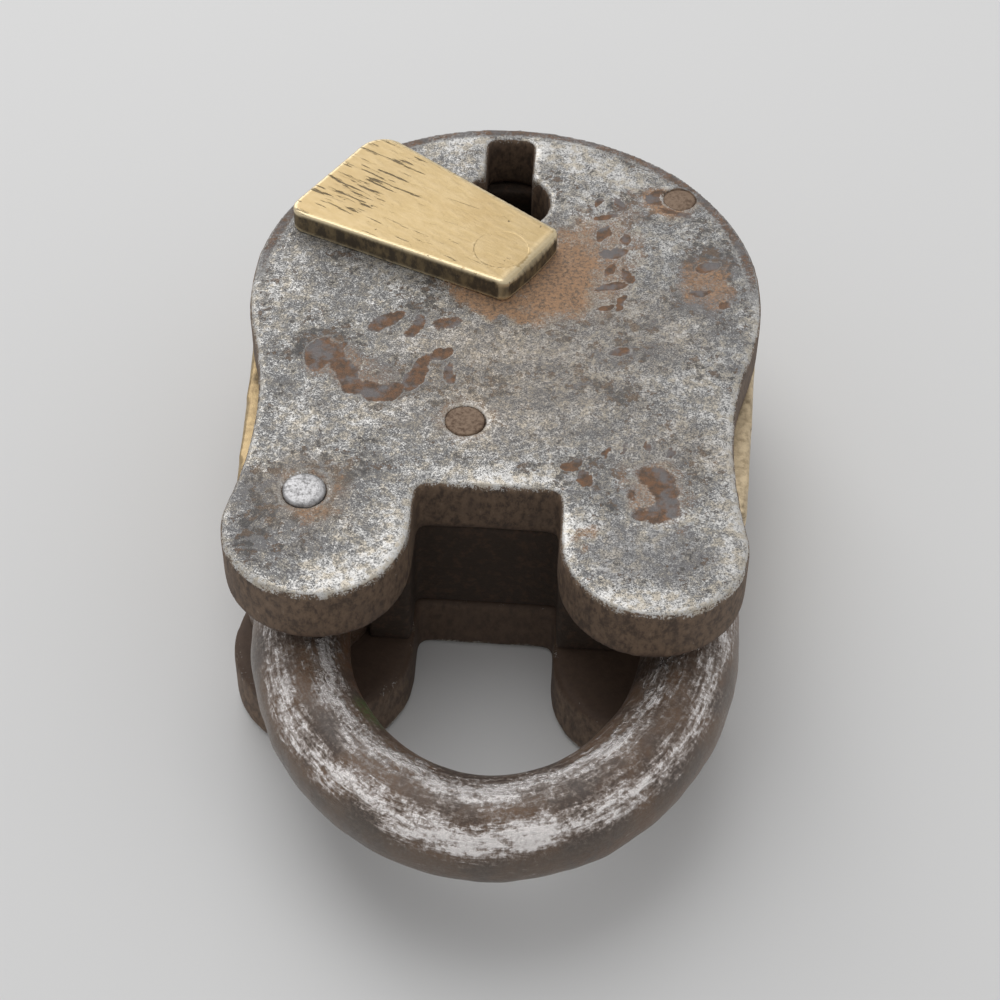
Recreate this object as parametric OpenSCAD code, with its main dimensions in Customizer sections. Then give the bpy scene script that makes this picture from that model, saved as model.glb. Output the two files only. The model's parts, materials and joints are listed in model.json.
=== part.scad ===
// Old-pattern lever padlock: two thick steel plates with a cast brass case between them,
// a swinging round-bar shackle, six levers behind a sliding bolt, and a swinging brass cover.
// Units are millimetres. The origin is the centre of the disc on the back plate's outer face.
// +Z points out of the front face, +Y towards the keyhole end, and the shackle hangs at -Y.
// The shackle is shut and the bolt is drawn back, so the shackle is free to open.

/* [Body outline] */
// Radius of the round end of the plates
disc_r = 38; // [34:0.5:44]
// Radius of each lobe that holds a shackle leg
lobe_r = 12.8; // [11.5:0.1:14.5]
// Distance of each lobe's centre from the middle line
lobe_x = 22.8; // [21.5:0.1:25]
// Distance of the lobe centres below the disc centre
lobe_drop = 48; // [44:0.5:56]
// Radius of the hollow waist between disc and lobe
waist_r = 65; // [50:1:90]
// Depth of the notch between the lobes, above the lobe centres
notch_rise = 8.2; // [6:0.1:10]
// Corner radius at the top of the notch
notch_corner = 1.5; // [0.5:0.1:3]

/* [Layers] */
// Thickness of each steel plate
plate_t = 9.4; // [6:0.1:12]
// Thickness of the brass middle case
case_t = 16.4; // [15:0.1:20]
// Wall of the middle case
case_wall = 4.8; // [3.5:0.1:5.5]
// Wall between the case's hollow and the pockets for the shackle
pocket_wall = 3.5; // [2.5:0.1:4.5]
// How far the case stands in from the plates' edge at the lobes
case_inset = 0.3; // [0.1:0.05:0.6]

/* [Shackle] */
// Diameter of the shackle's round bar
bar_d = 13.5; // [11.5:0.1:15]
// Distance between the centre lines of the two legs
leg_span = 54; // [50:0.5:58]
// Length of the bow below the legs' straight part, on its centre line
bow_len = 33.2; // [29:0.1:40]
// Height of the pivot above the lobe centre
pivot_rise = 5.65; // [4:0.05:7]
// How far the pivot lies outside the lobe centre
pivot_out = 2.25; // [1.8:0.05:2.8]
// Length of each leg's straight part below the pivot
leg_len = 7.9; // [5:0.1:10]
// How far the toe reaches above the pivot
toe_rise = 7.85; // [6:0.05:9]
// Metal round the bar at the shackle's heel
heel_rim = 2.55; // [1.5:0.05:3]

/* [Rivets] */
// Diameter of the rivet that the shackle turns on
pivot_rivet_d = 5.86; // [4:0.02:7]
// How far the pivot rivet stands proud of the front
pivot_rivet_proud = 0.35; // [0:0.05:0.6]
// Diameter of the middle rivet
centre_rivet_d = 5.5; // [4:0.1:6.5]
// Distance of the middle rivet left of the middle line
centre_rivet_x = 4.2; // [0:0.1:6]
// Height of the middle rivet above the top of the notch
centre_rivet_rise = 12.4; // [10:0.1:15]
// Depth of the middle rivet's end below the front face
centre_rivet_sunk = 0.2; // [0:0.05:0.5]
// Diameter of the two rivets near the rim
rim_rivet_d = 5; // [3.5:0.1:6]
// Distance of the rim rivets from the disc's edge
rim_rivet_edge = 3.6; // [3.2:0.1:5]
// Angle of the rim rivets above the disc's middle
rim_rivet_angle = 41.8; // [38:0.2:48]
// Depth of the rim rivets' ends below the front face
rim_rivet_sunk = 0.4; // [0:0.05:0.8]
// Metal of the case round each rim rivet
rim_boss = 2.8; // [2:0.1:4]

/* [Keyhole and cover] */
// Radius of the keyhole's round part
keyhole_r = 6.7; // [6:0.1:7.5]
// Width of the keyhole's slot
slot_w = 7.2; // [6:0.1:9]
// Distance from the keyhole's centre to the slot's end
slot_r = 14.9; // [13:0.1:16]
// Metal between the slot's end and the disc's edge
slot_edge = 2.9; // [2:0.1:5]
// How far the keyhole lies left of the middle line
keyhole_off = 1.1; // [0:0.1:3]
// Distance of the cover's pivot below the keyhole's centre
cover_drop = 15.8; // [14:0.1:18]
// Angle by which the cover is swung aside from the keyhole
cover_angle = 58.4; // [52:0.2:62]
// Thickness of the cover
cover_t = 3.8; // [2.5:0.1:5]
// How far the cover reaches past the slot's end when it is closed
cover_lap = 0.8; // [0:0.1:1.5]
// How far the cover reaches behind its pivot
cover_tail = 5.2; // [4.8:0.1:9]
// Half of the cover's width at its narrow end
cover_narrow = 7.4; // [6.8:0.1:9]
// How far the middle of the narrow end lies to one side of the pivot
cover_skew = 1.3; // [0:0.1:2]
// Half of the cover's width at its free end
cover_wide = 11.4; // [9:0.1:12]
// Corner radius of the cover
cover_corner = 2.2; // [1:0.1:4]
// Diameter of the rivet that the cover turns on
cover_rivet_d = 5; // [4:0.1:6]

/* [Lock works] */
// Travel of the bolt
bolt_throw = 6; // [5.7:0.1:6.4]
// Thickness of the bolt's plate
bolt_t = 4; // [3:0.1:4.5]
// Height of the bolt's nose along the shackle's leg
nose_h = 5.5; // [4:0.1:6]
// Diameter of the bolt's stump
stump_d = 3.8; // [3:0.1:4.2]
// Greatest lift of a lever, in degrees
lever_lift = 7; // [4:0.5:7]
// Diameter of the post that the levers turn on
lever_post_d = 5; // [4:0.1:5.5]
// Metal round the post in each lever
lever_eye = 2.5; // [2:0.1:3]
// Smallest radius of the levers' bellies, from the keyhole's centre
belly_r = 12.2; // [11.5:0.1:12.6]
// Diameter of the pin that the pipe key turns on
key_pin_d = 3.2; // [2.5:0.1:4]

/* [Clearances] */
// Radial clearance of what turns on a rivet or post
turn_gap = 0.08; // [0.04:0.01:0.1]
// Clearance beside what slides
slide_gap = 0.15; // [0.1:0.01:0.2]
// Clearance between the shackle's heel and each plate
heel_gap = 0.3; // [0.2:0.05:0.5]
// Clearance between the shackle's toe and its pocket
toe_gap = 0.8; // [0.6:0.05:1]

/* [Hidden] */
$fn = 96;

// An amount that carries a cut clear of the faces it passes through.
cut = 1;
// A size larger than the whole lock, for cutting away half planes.
far = 200;

// Heights of the layers.
case_z = plate_t;
front_z = case_z + case_t;
face_z = front_z + plate_t;
mid_z = case_z + case_t / 2;

// Lobe, notch and waist.
lobe_y = -lobe_drop;
notch_y = lobe_y + notch_rise;
notch_half = lobe_x - lobe_r;
lobe_dist = norm([lobe_x, lobe_drop]);
// The hollow waist is an arc that touches both the disc and the lobe.
waist_disc = disc_r + waist_r;
waist_lobe = lobe_r + waist_r;
waist_along = (waist_disc * waist_disc - waist_lobe * waist_lobe + lobe_dist * lobe_dist)
    / (2 * lobe_dist);
waist_across = sqrt(waist_disc * waist_disc - waist_along * waist_along);
lobe_dir = [lobe_x, lobe_y] / lobe_dist;
waist_c = waist_along * lobe_dir + waist_across * [-lobe_dir.y, lobe_dir.x];

// The case's straight side touches the disc and the lobe.
side_angle = atan2(lobe_y, lobe_x) + acos((disc_r - lobe_r) / lobe_dist);
cavity_r = disc_r - case_wall;

// Shackle.
bar_r = bar_d / 2;
pivot_x = -(lobe_x + pivot_out);
pivot_y = lobe_y + pivot_rise;
toe_x = pivot_x + leg_span;
toe_tip_y = pivot_y + toe_rise;
bow_x = (pivot_x + toe_x) / 2;
bow_y = pivot_y - leg_len;
bow_half = leg_span / 2;
bow_steps = 40;
bar_sides = 24;
heel_r = bar_r + heel_rim;
heel_pocket_r = heel_r + 0.4;
heel_start_y = pivot_y - pivot_rivet_d / 2 - 1.3;
toe_pocket_x = toe_x - bar_r - toe_gap + slide_gap;
toe_pocket_y = toe_tip_y + toe_gap;
heel_top_y = pivot_y + bar_r + 2.4;
heel_wall_y = pivot_y + heel_pocket_r + pocket_wall - 1.5;

// Rivets.
rim_rivet_r = disc_r - rim_rivet_edge;
rim_rivet_x = rim_rivet_r * cos(rim_rivet_angle);
rim_rivet_y = rim_rivet_r * sin(rim_rivet_angle);
centre_rivet_y = notch_y + centre_rivet_rise;

// Keyhole and cover.
key_x = -keyhole_off;
key_y = disc_r - slot_edge - slot_r;
cover_x = key_x;
cover_y = key_y - cover_drop;
cover_reach = cover_drop + slot_r + cover_lap;
cover_head_h = 1.5;
cover_head_r = cover_rivet_d / 2 + cover_head_h;
cover_tail_h = 0.7;
washer_t = 0.8;
washer_r = 4.5;

// Bolt: plate on the back plate, nose beside the toe.
bolt_z = case_z + slide_gap;
bolt_top = bolt_z + bolt_t;
nose_top = front_z - 1.8;
nose_tip_x = toe_pocket_x - 0.4;
nose_y = pivot_y + 2;
arm_w = 3.4;
arm_x = notch_half + case_inset + 1.3 + slide_gap + 0.2;
channel_x = arm_x - 0.4;
channel_y = nose_y - nose_h / 2 - 0.5;
toe_slot_y0 = nose_y - nose_h / 2 - 0.3;
toe_slot_h = nose_h + 0.6;
toe_slot_x = nose_tip_x + bolt_throw + 0.3;
block_y = channel_y - pocket_wall;

// Levers and their post.
post_x = -(cavity_r - 9);
post_y = key_y - 25.2;
stump_x = 12;
stump_y = key_y - 23.2;
stump_r = stump_d / 2;
lever_count = 6;
lever_floor = bolt_top + 0.2;
lever_ceiling = front_z - washer_t - cover_tail_h - 0.25;
lever_pitch = (lever_ceiling - lever_floor) / lever_count;
lever_t = lever_pitch - slide_gap;
lever_eye_r = lever_post_d / 2 + lever_eye;
lever_head_x = 22;
lever_top_y = key_y - 10.2;
lever_low_y = stump_y - 9;
gate_half = stump_r + slide_gap;
// How far a lifted lever carries its pockets past the stump.
lift_rise = (stump_x + bolt_throw - post_x) * sin(lever_lift) + 0.3;
spring_t = 0.5;
talon_half = 3.7;
guide_pin_d = 4;
guide_pin_x = 9;
guide_pin_y = stump_y - 14;

// ---------- plan shapes ----------

function polar(c, r, a) = c + r * [cos(a), sin(a)];
function arc(c, r, a0, a1, steps) = [for (i = [0 : steps]) polar(c, r, a0 + (a1 - a0) * i / steps)];
function angle_of(v) = atan2(v.y, v.x);

// Closes a right-hand path, whose first point is on the middle line, with its mirror image.
function both_sides(path) =
    concat(path, [for (i = [len(path) - 1 : -1 : 1]) [-path[i].x, path[i].y]]);

module mirrored() {
    children();
    mirror([1, 0]) children();
}

// Outline that both plates share: a disc, hollow waists, two lobes and a notch.
module plate_2d() {
    corner_c = [notch_half - notch_corner, notch_y - notch_corner];
    polygon(both_sides(concat(
        arc([0, 0], disc_r, 90, angle_of(waist_c), 40),
        arc(waist_c, waist_r, angle_of(-waist_c), angle_of([lobe_x, lobe_y] - waist_c) + 360, 8),
        arc([lobe_x, lobe_y], lobe_r, angle_of(waist_c - [lobe_x, lobe_y]), -180, 32),
        arc(corner_c, notch_corner, 0, 90, 4)
    )));
}

// Outline of the case before the shackle's pockets are cut.
module case_2d() {
    polygon(both_sides(concat(
        arc([0, 0], disc_r, 90, side_angle, 40),
        [polar([lobe_x, lobe_y], lobe_r, side_angle),
         [notch_half + case_inset, lobe_y - 1],
         [notch_half + case_inset, notch_y + case_inset]]
    )));
}

// The two pockets that leave the shackle's legs free, and the cut across the lobes.
module leg_pockets_2d() {
    low = lobe_y - lobe_r - cut;
    translate([pivot_x, pivot_y]) circle(r = heel_pocket_r);
    translate([-far / 2, low]) square([far / 2 + pivot_x, heel_top_y - low]);
    translate([toe_pocket_x, low]) square([far / 2, toe_pocket_y - low]);
    translate([-far / 4, low]) square([far / 2, block_y - low]);
}

// The hollow of the case, with metal left round the rim rivets and the pockets.
module cavity_2d() {
    floor_y = notch_y + 4;
    difference() {
        polygon(both_sides(concat(
            arc([0, 0], cavity_r, 90, side_angle, 40),
            [polar([lobe_x, lobe_y], lobe_r - case_wall, side_angle)]
        )));
        mirrored()
            translate([rim_rivet_x, rim_rivet_y]) circle(r = rim_rivet_d / 2 + rim_boss);
        translate([pivot_x, pivot_y]) circle(r = heel_pocket_r + pocket_wall);
        translate([-far / 2, floor_y - far]) square([far, far]);
        translate([-far / 2, floor_y - cut]) square([far / 2 + pivot_x, heel_wall_y - floor_y + cut]);
        translate([toe_pocket_x, floor_y - cut])
            square([far / 2, toe_pocket_y + pocket_wall - floor_y + cut]);
    }
    translate([channel_x, channel_y])
        square([toe_pocket_x - channel_x + cut, floor_y - channel_y + cut]);
}

// Keyhole: a round part for the pipe and a slot for the bit, ended by the bit's own arc.
module keyhole_2d() {
    translate([key_x, key_y]) {
        circle(r = keyhole_r);
        intersection() {
            translate([-slot_w / 2, 0]) square([slot_w, slot_r + cut]);
            circle(r = slot_r);
        }
    }
}

// A quadrilateral with equal round corners, given by the centres of its corners.
function edge_shift(a, b, r) = r * [(b - a).y, -(b - a).x] / norm(b - a);
module rounded_quad(c, r) {
    polygon([for (i = [0 : 3]) let (a = c[i], b = c[(i + 1) % 4], s = edge_shift(a, b, r))
             each [a + s, b + s]]);
    for (p = c) translate(p) circle(r = r);
}

module pin(x, y, d, z0, z1) {
    translate([x, y, z0]) cylinder(d = d, h = z1 - z0);
}

module main_rivet_holes(z0, z1) {
    pin(pivot_x, pivot_y, pivot_rivet_d, z0, z1);
    pin(-centre_rivet_x, centre_rivet_y, centre_rivet_d, z0, z1);
    pin(rim_rivet_x, rim_rivet_y, rim_rivet_d, z0, z1);
    pin(-rim_rivet_x, rim_rivet_y, rim_rivet_d, z0, z1);
}

// ---------- case and plates ----------

module back_plate() {
    color("dimgray") difference() {
        linear_extrude(plate_t) plate_2d();
        main_rivet_holes(-cut, plate_t + cut);
        pin(post_x, post_y, lever_post_d, -cut, plate_t + cut);
        pin(key_x, key_y, key_pin_d, -cut, plate_t + cut);
        pin(guide_pin_x, guide_pin_y, guide_pin_d, -cut, plate_t + cut);
    }
}

module front_plate() {
    color("gray") translate([0, 0, front_z]) difference() {
        linear_extrude(plate_t) plate_2d();
        translate([0, 0, -cut]) linear_extrude(plate_t + 2 * cut) keyhole_2d();
        main_rivet_holes(-cut, plate_t + cut);
        pin(cover_x, cover_y, cover_rivet_d, -cut, plate_t + cut);
        pin(post_x, post_y, lever_post_d, -cut, post_seat);
    }
}
// Depth of the blind hole that steadies the lever post in the front plate.
post_seat = 3;

module middle_case() {
    color("darkgoldenrod") translate([0, 0, case_z]) difference() {
        linear_extrude(case_t) difference() {
            case_2d();
            leg_pockets_2d();
            cavity_2d();
        }
        pin(rim_rivet_x, rim_rivet_y, rim_rivet_d, -cut, case_t + cut);
        pin(-rim_rivet_x, rim_rivet_y, rim_rivet_d, -cut, case_t + cut);
    }
}

// ---------- rivets, posts and pins ----------

module shackle_rivet() {
    color("silver") pin(pivot_x, pivot_y, pivot_rivet_d, 0, face_z + pivot_rivet_proud);
}

module centre_rivet() {
    color("peru") pin(-centre_rivet_x, centre_rivet_y, centre_rivet_d, 0,
                      face_z - centre_rivet_sunk);
}

module right_rim_rivet() {
    color("saddlebrown") pin(rim_rivet_x, rim_rivet_y, rim_rivet_d, 0, face_z - rim_rivet_sunk);
}

module left_rim_rivet() {
    color("saddlebrown") pin(-rim_rivet_x, rim_rivet_y, rim_rivet_d, 0, face_z - rim_rivet_sunk);
}

module lever_post() {
    color("silver") pin(post_x, post_y, lever_post_d, 0, front_z + post_seat);
}

module lever_spacer() {
    color("goldenrod") difference() {
        pin(post_x, post_y, 2 * lever_eye_r, lever_ceiling, front_z);
        pin(post_x, post_y, lever_post_d, lever_ceiling - cut, front_z + cut);
    }
}

module key_pin() {
    color("silver") pin(key_x, key_y, key_pin_d, 0, front_z - 3);
}

module bolt_guide_pin() {
    color("silver") pin(guide_pin_x, guide_pin_y, guide_pin_d, 0, bolt_top + 0.1);
}

// The cover's rivet: a flush cone in the cover, a shank, and a tail closed over a washer.
module cover_rivet() {
    color("gold") {
        pin(cover_x, cover_y, cover_rivet_d, front_z - washer_t, face_z + cover_t - cover_head_h);
        pin(cover_x, cover_y, 2 * cover_head_r, front_z - washer_t - cover_tail_h,
            front_z - washer_t);
        translate([cover_x, cover_y, face_z + cover_t - cover_head_h])
            cylinder(r1 = cover_rivet_d / 2, r2 = cover_head_r, h = cover_head_h);
    }
}

module cover_washer() {
    color("silver") difference() {
        pin(cover_x, cover_y, 2 * washer_r, front_z - washer_t, front_z);
        pin(cover_x, cover_y, cover_rivet_d, front_z - washer_t - cut, front_z + cut);
    }
}

// ---------- shackle ----------

// Centre line of the bar: heel leg, half an ellipse, toe leg. Each entry is [centre, outward].
function bow_section(t) =
    let (out = [bow_len * cos(t), bow_half * sin(t)])
    [[bow_x + bow_half * cos(t), bow_y + bow_len * sin(t)], out / norm(out)];
bar_path = concat(
    [[[pivot_x, heel_start_y], [-1, 0]]],
    [for (i = [0 : bow_steps]) bow_section(180 + 180 * i / bow_steps)],
    [[[toe_x, toe_tip_y], [1, 0]]]
);

module shackle_bar() {
    n = bar_sides;
    last = (len(bar_path) - 1) * n;
    points = [for (s = bar_path, j = [0 : n - 1])
              let (side = s[0] + bar_r * cos(360 * j / n) * s[1])
              [side.x, side.y, mid_z + bar_r * sin(360 * j / n)]];
    walls = [for (i = [0 : n : last - n], j = [0 : n - 1]) let (k = (j + 1) % n)
             [i + j, i + k, i + n + k, i + n + j]];
    caps = [[for (j = [n - 1 : -1 : 0]) j], [for (j = [0 : n - 1]) last + j]];
    polyhedron(points, concat(walls, caps));
}

module shackle() {
    color("dimgray") difference() {
        union() {
            shackle_bar();
            pin(pivot_x, pivot_y, 2 * heel_r, case_z + heel_gap, front_z - heel_gap);
        }
        pin(pivot_x, pivot_y, pivot_rivet_d + 2 * turn_gap, 0, face_z);
        translate([toe_x - bar_r - cut, toe_slot_y0, 0])
            cube([toe_slot_x - toe_x + bar_r + cut, toe_slot_h, face_z]);
    }
}

// ---------- bolt ----------

// Plan of the bolt's plate: talon block, trunk, guide bar, and the arm that carries the nose.
module bolt_plate_2d() {
    trunk_x = stump_x - 5;
    right_x = arm_x + arm_w;
    arm_low = nose_y - nose_h / 2;
    guide_low = centre_rivet_y - 5;
    block_low = stump_y - 3;
    difference() {
        union() {
            translate([key_x - 8, block_low])
                square([right_x - key_x + 8, cover_y + 4.4 - block_low]);
            translate([trunk_x, guide_low]) square([right_x - trunk_x, block_low + 1 - guide_low]);
            translate([-centre_rivet_x - 11, guide_low])
                square([right_x + centre_rivet_x + 11, 11]);
            translate([arm_x, arm_low]) square([arm_w, guide_low + 1 - arm_low]);
            translate([arm_x, arm_low]) square([nose_tip_x - arm_x, nose_h]);
        }
        // Talon that the key's bit turns in.
        translate([key_x - talon_half, cover_y + 0.4]) square([2 * talon_half, far]);
        // Slots that let the plate slide along the middle rivet and the guide pin.
        slide_slot(-centre_rivet_x, centre_rivet_y, centre_rivet_d);
        slide_slot(guide_pin_x + 0.6, guide_pin_y, guide_pin_d);
        // Relief that keeps the guide bar off the wall round a thicker shackle's heel.
        translate([pivot_x, pivot_y]) circle(r = heel_pocket_r + pocket_wall + 0.3);
    }
}

// A slot that lets the bolt travel its throw past a fixed pin.
module slide_slot(x, y, d) {
    w = d + 2 * slide_gap;
    translate([x - bolt_throw - slide_gap, y - w / 2]) square([bolt_throw + 2 * slide_gap, w]);
    translate([x - bolt_throw - slide_gap, y]) circle(d = w);
    translate([x + slide_gap, y]) circle(d = w);
}

module bolt() {
    color("darkkhaki") {
        translate([0, 0, bolt_z]) linear_extrude(bolt_t) bolt_plate_2d();
        translate([arm_x, nose_y - nose_h / 2, bolt_z])
            cube([nose_tip_x - arm_x, nose_h, nose_top - bolt_z]);
    }
}

module bolt_stump() {
    color("darkkhaki") pin(stump_x, stump_y, stump_d, bolt_top, lever_ceiling - slide_gap);
}

// ---------- levers ----------

function lever_z(k) = lever_floor + (k - 1) * lever_pitch;
// Each lever's belly is cut to its own depth.
function lever_belly(k) = belly_r + [0.6, 0, 0.9, 0.3, 1.2, 0.6][k - 1];

// Half width of the case's hollow at a height below the disc's middle.
function hollow_half(y) =
    let (a = polar([0, 0], cavity_r, side_angle),
         b = polar([lobe_x, lobe_y], lobe_r - case_wall, side_angle))
    a.x + (b.x - a.x) * (y - a.y) / (b.y - a.y);

// Leaf spring: its root sits in a slit in the lever's eye and its tip bears on the case.
module lever_spring_2d() {
    root = polar([post_x, post_y], lever_eye_r - 1.1, 228);
    tip_y = post_y - 18;
    tip = [0.1 - hollow_half(tip_y), tip_y];
    bend = [tip.x + 0.8, post_y - 9.5];
    across = [spring_t, 0];
    polygon([root, bend, tip, tip + across, bend + across, root + across]);
}

// Rear pocket, gate and front pocket that the stump moves through.
module lever_gate_2d() {
    low = stump_y - gate_half;
    // How far a lifted lever carries its pockets sideways past the stump.
    lean = (stump_y - post_y + lift_rise) * sin(lever_lift);
    rear_x = stump_x - gate_half - lean;
    wall_x = stump_x + gate_half + 0.1;
    front_x = stump_x + bolt_throw - gate_half - lean;
    end_x = stump_x + bolt_throw + gate_half;
    translate([rear_x, low]) square([wall_x - rear_x, 2 * gate_half + lift_rise]);
    translate([front_x, low - 4]) square([end_x - front_x, 2 * gate_half + lift_rise + 4]);
    translate([wall_x - cut, low]) square([front_x - wall_x + 2 * cut, 2 * gate_half]);
}

module lever(k) {
    color("khaki") translate([0, 0, lever_z(k)]) linear_extrude(lever_t) difference() {
        polygon(concat(
            [[key_x - 14, lever_top_y], [lever_head_x, lever_top_y],
             [lever_head_x, lever_low_y], [key_x + 5, lever_low_y]],
            arc([post_x, post_y], lever_eye_r, -80, -280, 24)
        ));
        translate([post_x, post_y]) circle(d = lever_post_d + 2 * turn_gap);
        translate([key_x, key_y]) circle(r = lever_belly(k));
        lever_gate_2d();
        lever_spring_2d();
    }
}

module lever_spring(k) {
    color("lightsteelblue") translate([0, 0, lever_z(k) + 0.1])
        linear_extrude(lever_t - 0.2) lever_spring_2d();
}

// ---------- cover ----------

module keyhole_cover() {
    r = cover_corner;
    corners = [
        [cover_skew - cover_narrow + r, -cover_tail + r],
        [cover_skew + cover_narrow - r, -cover_tail + r],
        [cover_wide - r, cover_reach - r],
        [-cover_wide + r, cover_reach - r]
    ];
    color("gold") translate([cover_x, cover_y, face_z]) rotate([0, 0, cover_angle])
        difference() {
            linear_extrude(cover_t) rounded_quad(corners, r);
            pin(0, 0, cover_rivet_d + 2 * turn_gap, -cut, cover_t + cut);
            translate([0, 0, cover_t - cover_head_h])
                cylinder(r1 = cover_rivet_d / 2 + turn_gap, r2 = cover_head_r + turn_gap,
                         h = cover_head_h);
        }
}

back_plate();
middle_case();
front_plate();
shackle_rivet();
centre_rivet();
right_rim_rivet();
left_rim_rivet();
lever_post();
lever_spacer();
key_pin();
cover_rivet();
cover_washer();
bolt_guide_pin();
shackle();
bolt();
bolt_stump();
lever(1);  // lever_1
lever(2);  // lever_2
lever(3);  // lever_3
lever(4);  // lever_4
lever(5);  // lever_5
lever(6);  // lever_6
lever_spring(1);  // lever_spring_1
lever_spring(2);  // lever_spring_2
lever_spring(3);  // lever_spring_3
lever_spring(4);  // lever_spring_4
lever_spring(5);  // lever_spring_5
lever_spring(6);  // lever_spring_6
keyhole_cover();
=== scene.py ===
"""Looks of an old lever padlock: worn steel plates, a brass case and cover, a forged shackle.

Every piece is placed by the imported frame. Lengths inside the classes are in millimetres and
become metres only when a mesh is written.
"""

import json
import logging
import math
from dataclasses import dataclass, field
from enum import Enum
from typing import Any

import bmesh
import bpy
import numpy as np
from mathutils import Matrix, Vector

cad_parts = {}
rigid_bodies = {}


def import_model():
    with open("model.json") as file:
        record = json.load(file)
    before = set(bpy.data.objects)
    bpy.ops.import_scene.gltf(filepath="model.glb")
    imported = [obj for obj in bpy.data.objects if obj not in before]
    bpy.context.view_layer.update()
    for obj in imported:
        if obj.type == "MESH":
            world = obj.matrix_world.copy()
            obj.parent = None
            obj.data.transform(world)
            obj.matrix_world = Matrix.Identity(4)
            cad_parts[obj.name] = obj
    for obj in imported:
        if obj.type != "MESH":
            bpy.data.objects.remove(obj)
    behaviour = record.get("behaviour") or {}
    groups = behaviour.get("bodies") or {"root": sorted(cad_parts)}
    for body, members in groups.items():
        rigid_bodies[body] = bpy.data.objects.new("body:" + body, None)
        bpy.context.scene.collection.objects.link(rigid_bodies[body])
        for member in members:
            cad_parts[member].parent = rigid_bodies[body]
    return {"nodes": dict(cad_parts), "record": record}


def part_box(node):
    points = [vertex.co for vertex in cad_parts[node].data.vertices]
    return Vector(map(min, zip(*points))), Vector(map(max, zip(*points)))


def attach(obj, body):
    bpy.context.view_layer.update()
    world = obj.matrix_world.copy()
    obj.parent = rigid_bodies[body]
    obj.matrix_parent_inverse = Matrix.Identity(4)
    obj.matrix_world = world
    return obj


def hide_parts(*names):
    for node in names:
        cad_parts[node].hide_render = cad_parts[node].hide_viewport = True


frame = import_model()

logging.basicConfig(level=logging.INFO, format="%(message)s")
log = logging.getLogger("padlock")

MM = 0.001
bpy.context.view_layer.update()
PLAIN = (0.0, 0.0, 0.0)
Colour = tuple[float, float, float]


class Outward(Enum):
    """The way that a plate's outer face looks along Z."""

    UP = 1
    DOWN = -1


# ---------- measures taken from the frame ----------


def box_mm(node: str) -> tuple[np.ndarray, np.ndarray]:
    """Returns the lowest and highest corner of a node's box in millimetres."""
    low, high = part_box(node)
    return np.array(low) / MM, np.array(high) / MM


def joint_point(joint: str) -> np.ndarray:
    """Finds a joint's place.

    Args:
        joint: The joint's name.

    Returns:
        Its place in millimetres.
    """
    for entry in frame["record"]["behaviour"]["joints"]:
        if entry["name"] == joint:
            return np.array(entry["pos_m"]) / MM
    raise KeyError(joint)


# ---------- smooth noise for shaping ----------


def lumps(points: np.ndarray, size: float, seed: int) -> np.ndarray:
    """Gives smooth noise over points.

    Args:
        points: Points in millimetres, one row each.
        size: Width of a lump in millimetres.
        seed: Number that picks the pattern.

    Returns:
        One value from -1 to 1 for each point.
    """
    side = 32
    table = np.random.default_rng(seed).uniform(-1, 1, (side, side, side))
    scaled = points / size
    cell = np.floor(scaled).astype(int)
    part = scaled - cell
    part = part * part * (3 - 2 * part)
    total = np.zeros(len(points))
    for corner in np.ndindex(2, 2, 2):
        weight = np.ones(len(points))
        for axis, step in enumerate(corner):
            weight *= part[:, axis] if step else 1 - part[:, axis]
        i, j, k = ((cell[:, axis] + corner[axis]) % side for axis in range(3))
        total += weight * table[i, j, k]
    return total


def ease(value: np.ndarray, start: float, end: float) -> np.ndarray:
    """Eases from 0 at start to 1 at end, either way round."""
    part = np.clip((value - start) / (end - start), 0, 1)
    return part * part * (3 - 2 * part)


def ridge_at(value: np.ndarray, middle: float, width: float) -> np.ndarray:
    """Gives a bell curve: 1 at its middle, falling off over its width."""
    return np.exp(-((value - middle) / width) ** 2)


@dataclass(frozen=True)
class Patch:
    """An oval patch of rust, grimy tarnish, rubbed metal or painted highlight on a flat face.

    Attributes:
        x: Place of the middle, in millimetres.
        y: Place of the middle, in millimetres.
        long: Half of its length.
        wide: Half of its width.
        turn: Angle of its length from +X, in degrees.
        force: Strength from 0 to 1.
    """

    x: float
    y: float
    long: float
    wide: float
    turn: float = 0.0
    force: float = 1.0

    def cover(self, points: np.ndarray, soft: float) -> np.ndarray:
        """Gives the patch's strength at each point.

        Args:
            points: Points in millimetres, already made ragged.
            soft: Share of the patch over which its edge fades.

        Returns:
            One strength for each point.
        """
        angle = math.radians(self.turn)
        dx, dy = points[:, 0] - self.x, points[:, 1] - self.y
        along = (dx * math.cos(angle) + dy * math.sin(angle)) / self.long
        across = (dy * math.cos(angle) - dx * math.sin(angle)) / self.wide
        return self.force * ease(np.hypot(along, across), 1 + soft / 2, 1 - soft / 2)


def cover_all(patches: list[Patch], points: np.ndarray, ragged: float, soft: float,
              seed: int) -> np.ndarray:
    """Gives the strongest patch at each point.

    Args:
        patches: The patches.
        points: Points in millimetres.
        ragged: How far the patches' edges wander.
        soft: Share of a patch over which its edge fades.
        seed: Number that picks the wandering.

    Returns:
        One strength for each point.
    """
    moved = points.copy()
    for axis, pick in ((0, seed), (1, seed + 2)):
        moved[:, axis] += ragged * (lumps(points, 2.2, pick) + 0.5 * lumps(points, 0.9, pick + 1))
    total = np.zeros(len(points))
    for patch in patches:
        total = np.maximum(total, patch.cover(moved, soft))
    return total


# ---------- meshes ----------


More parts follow.
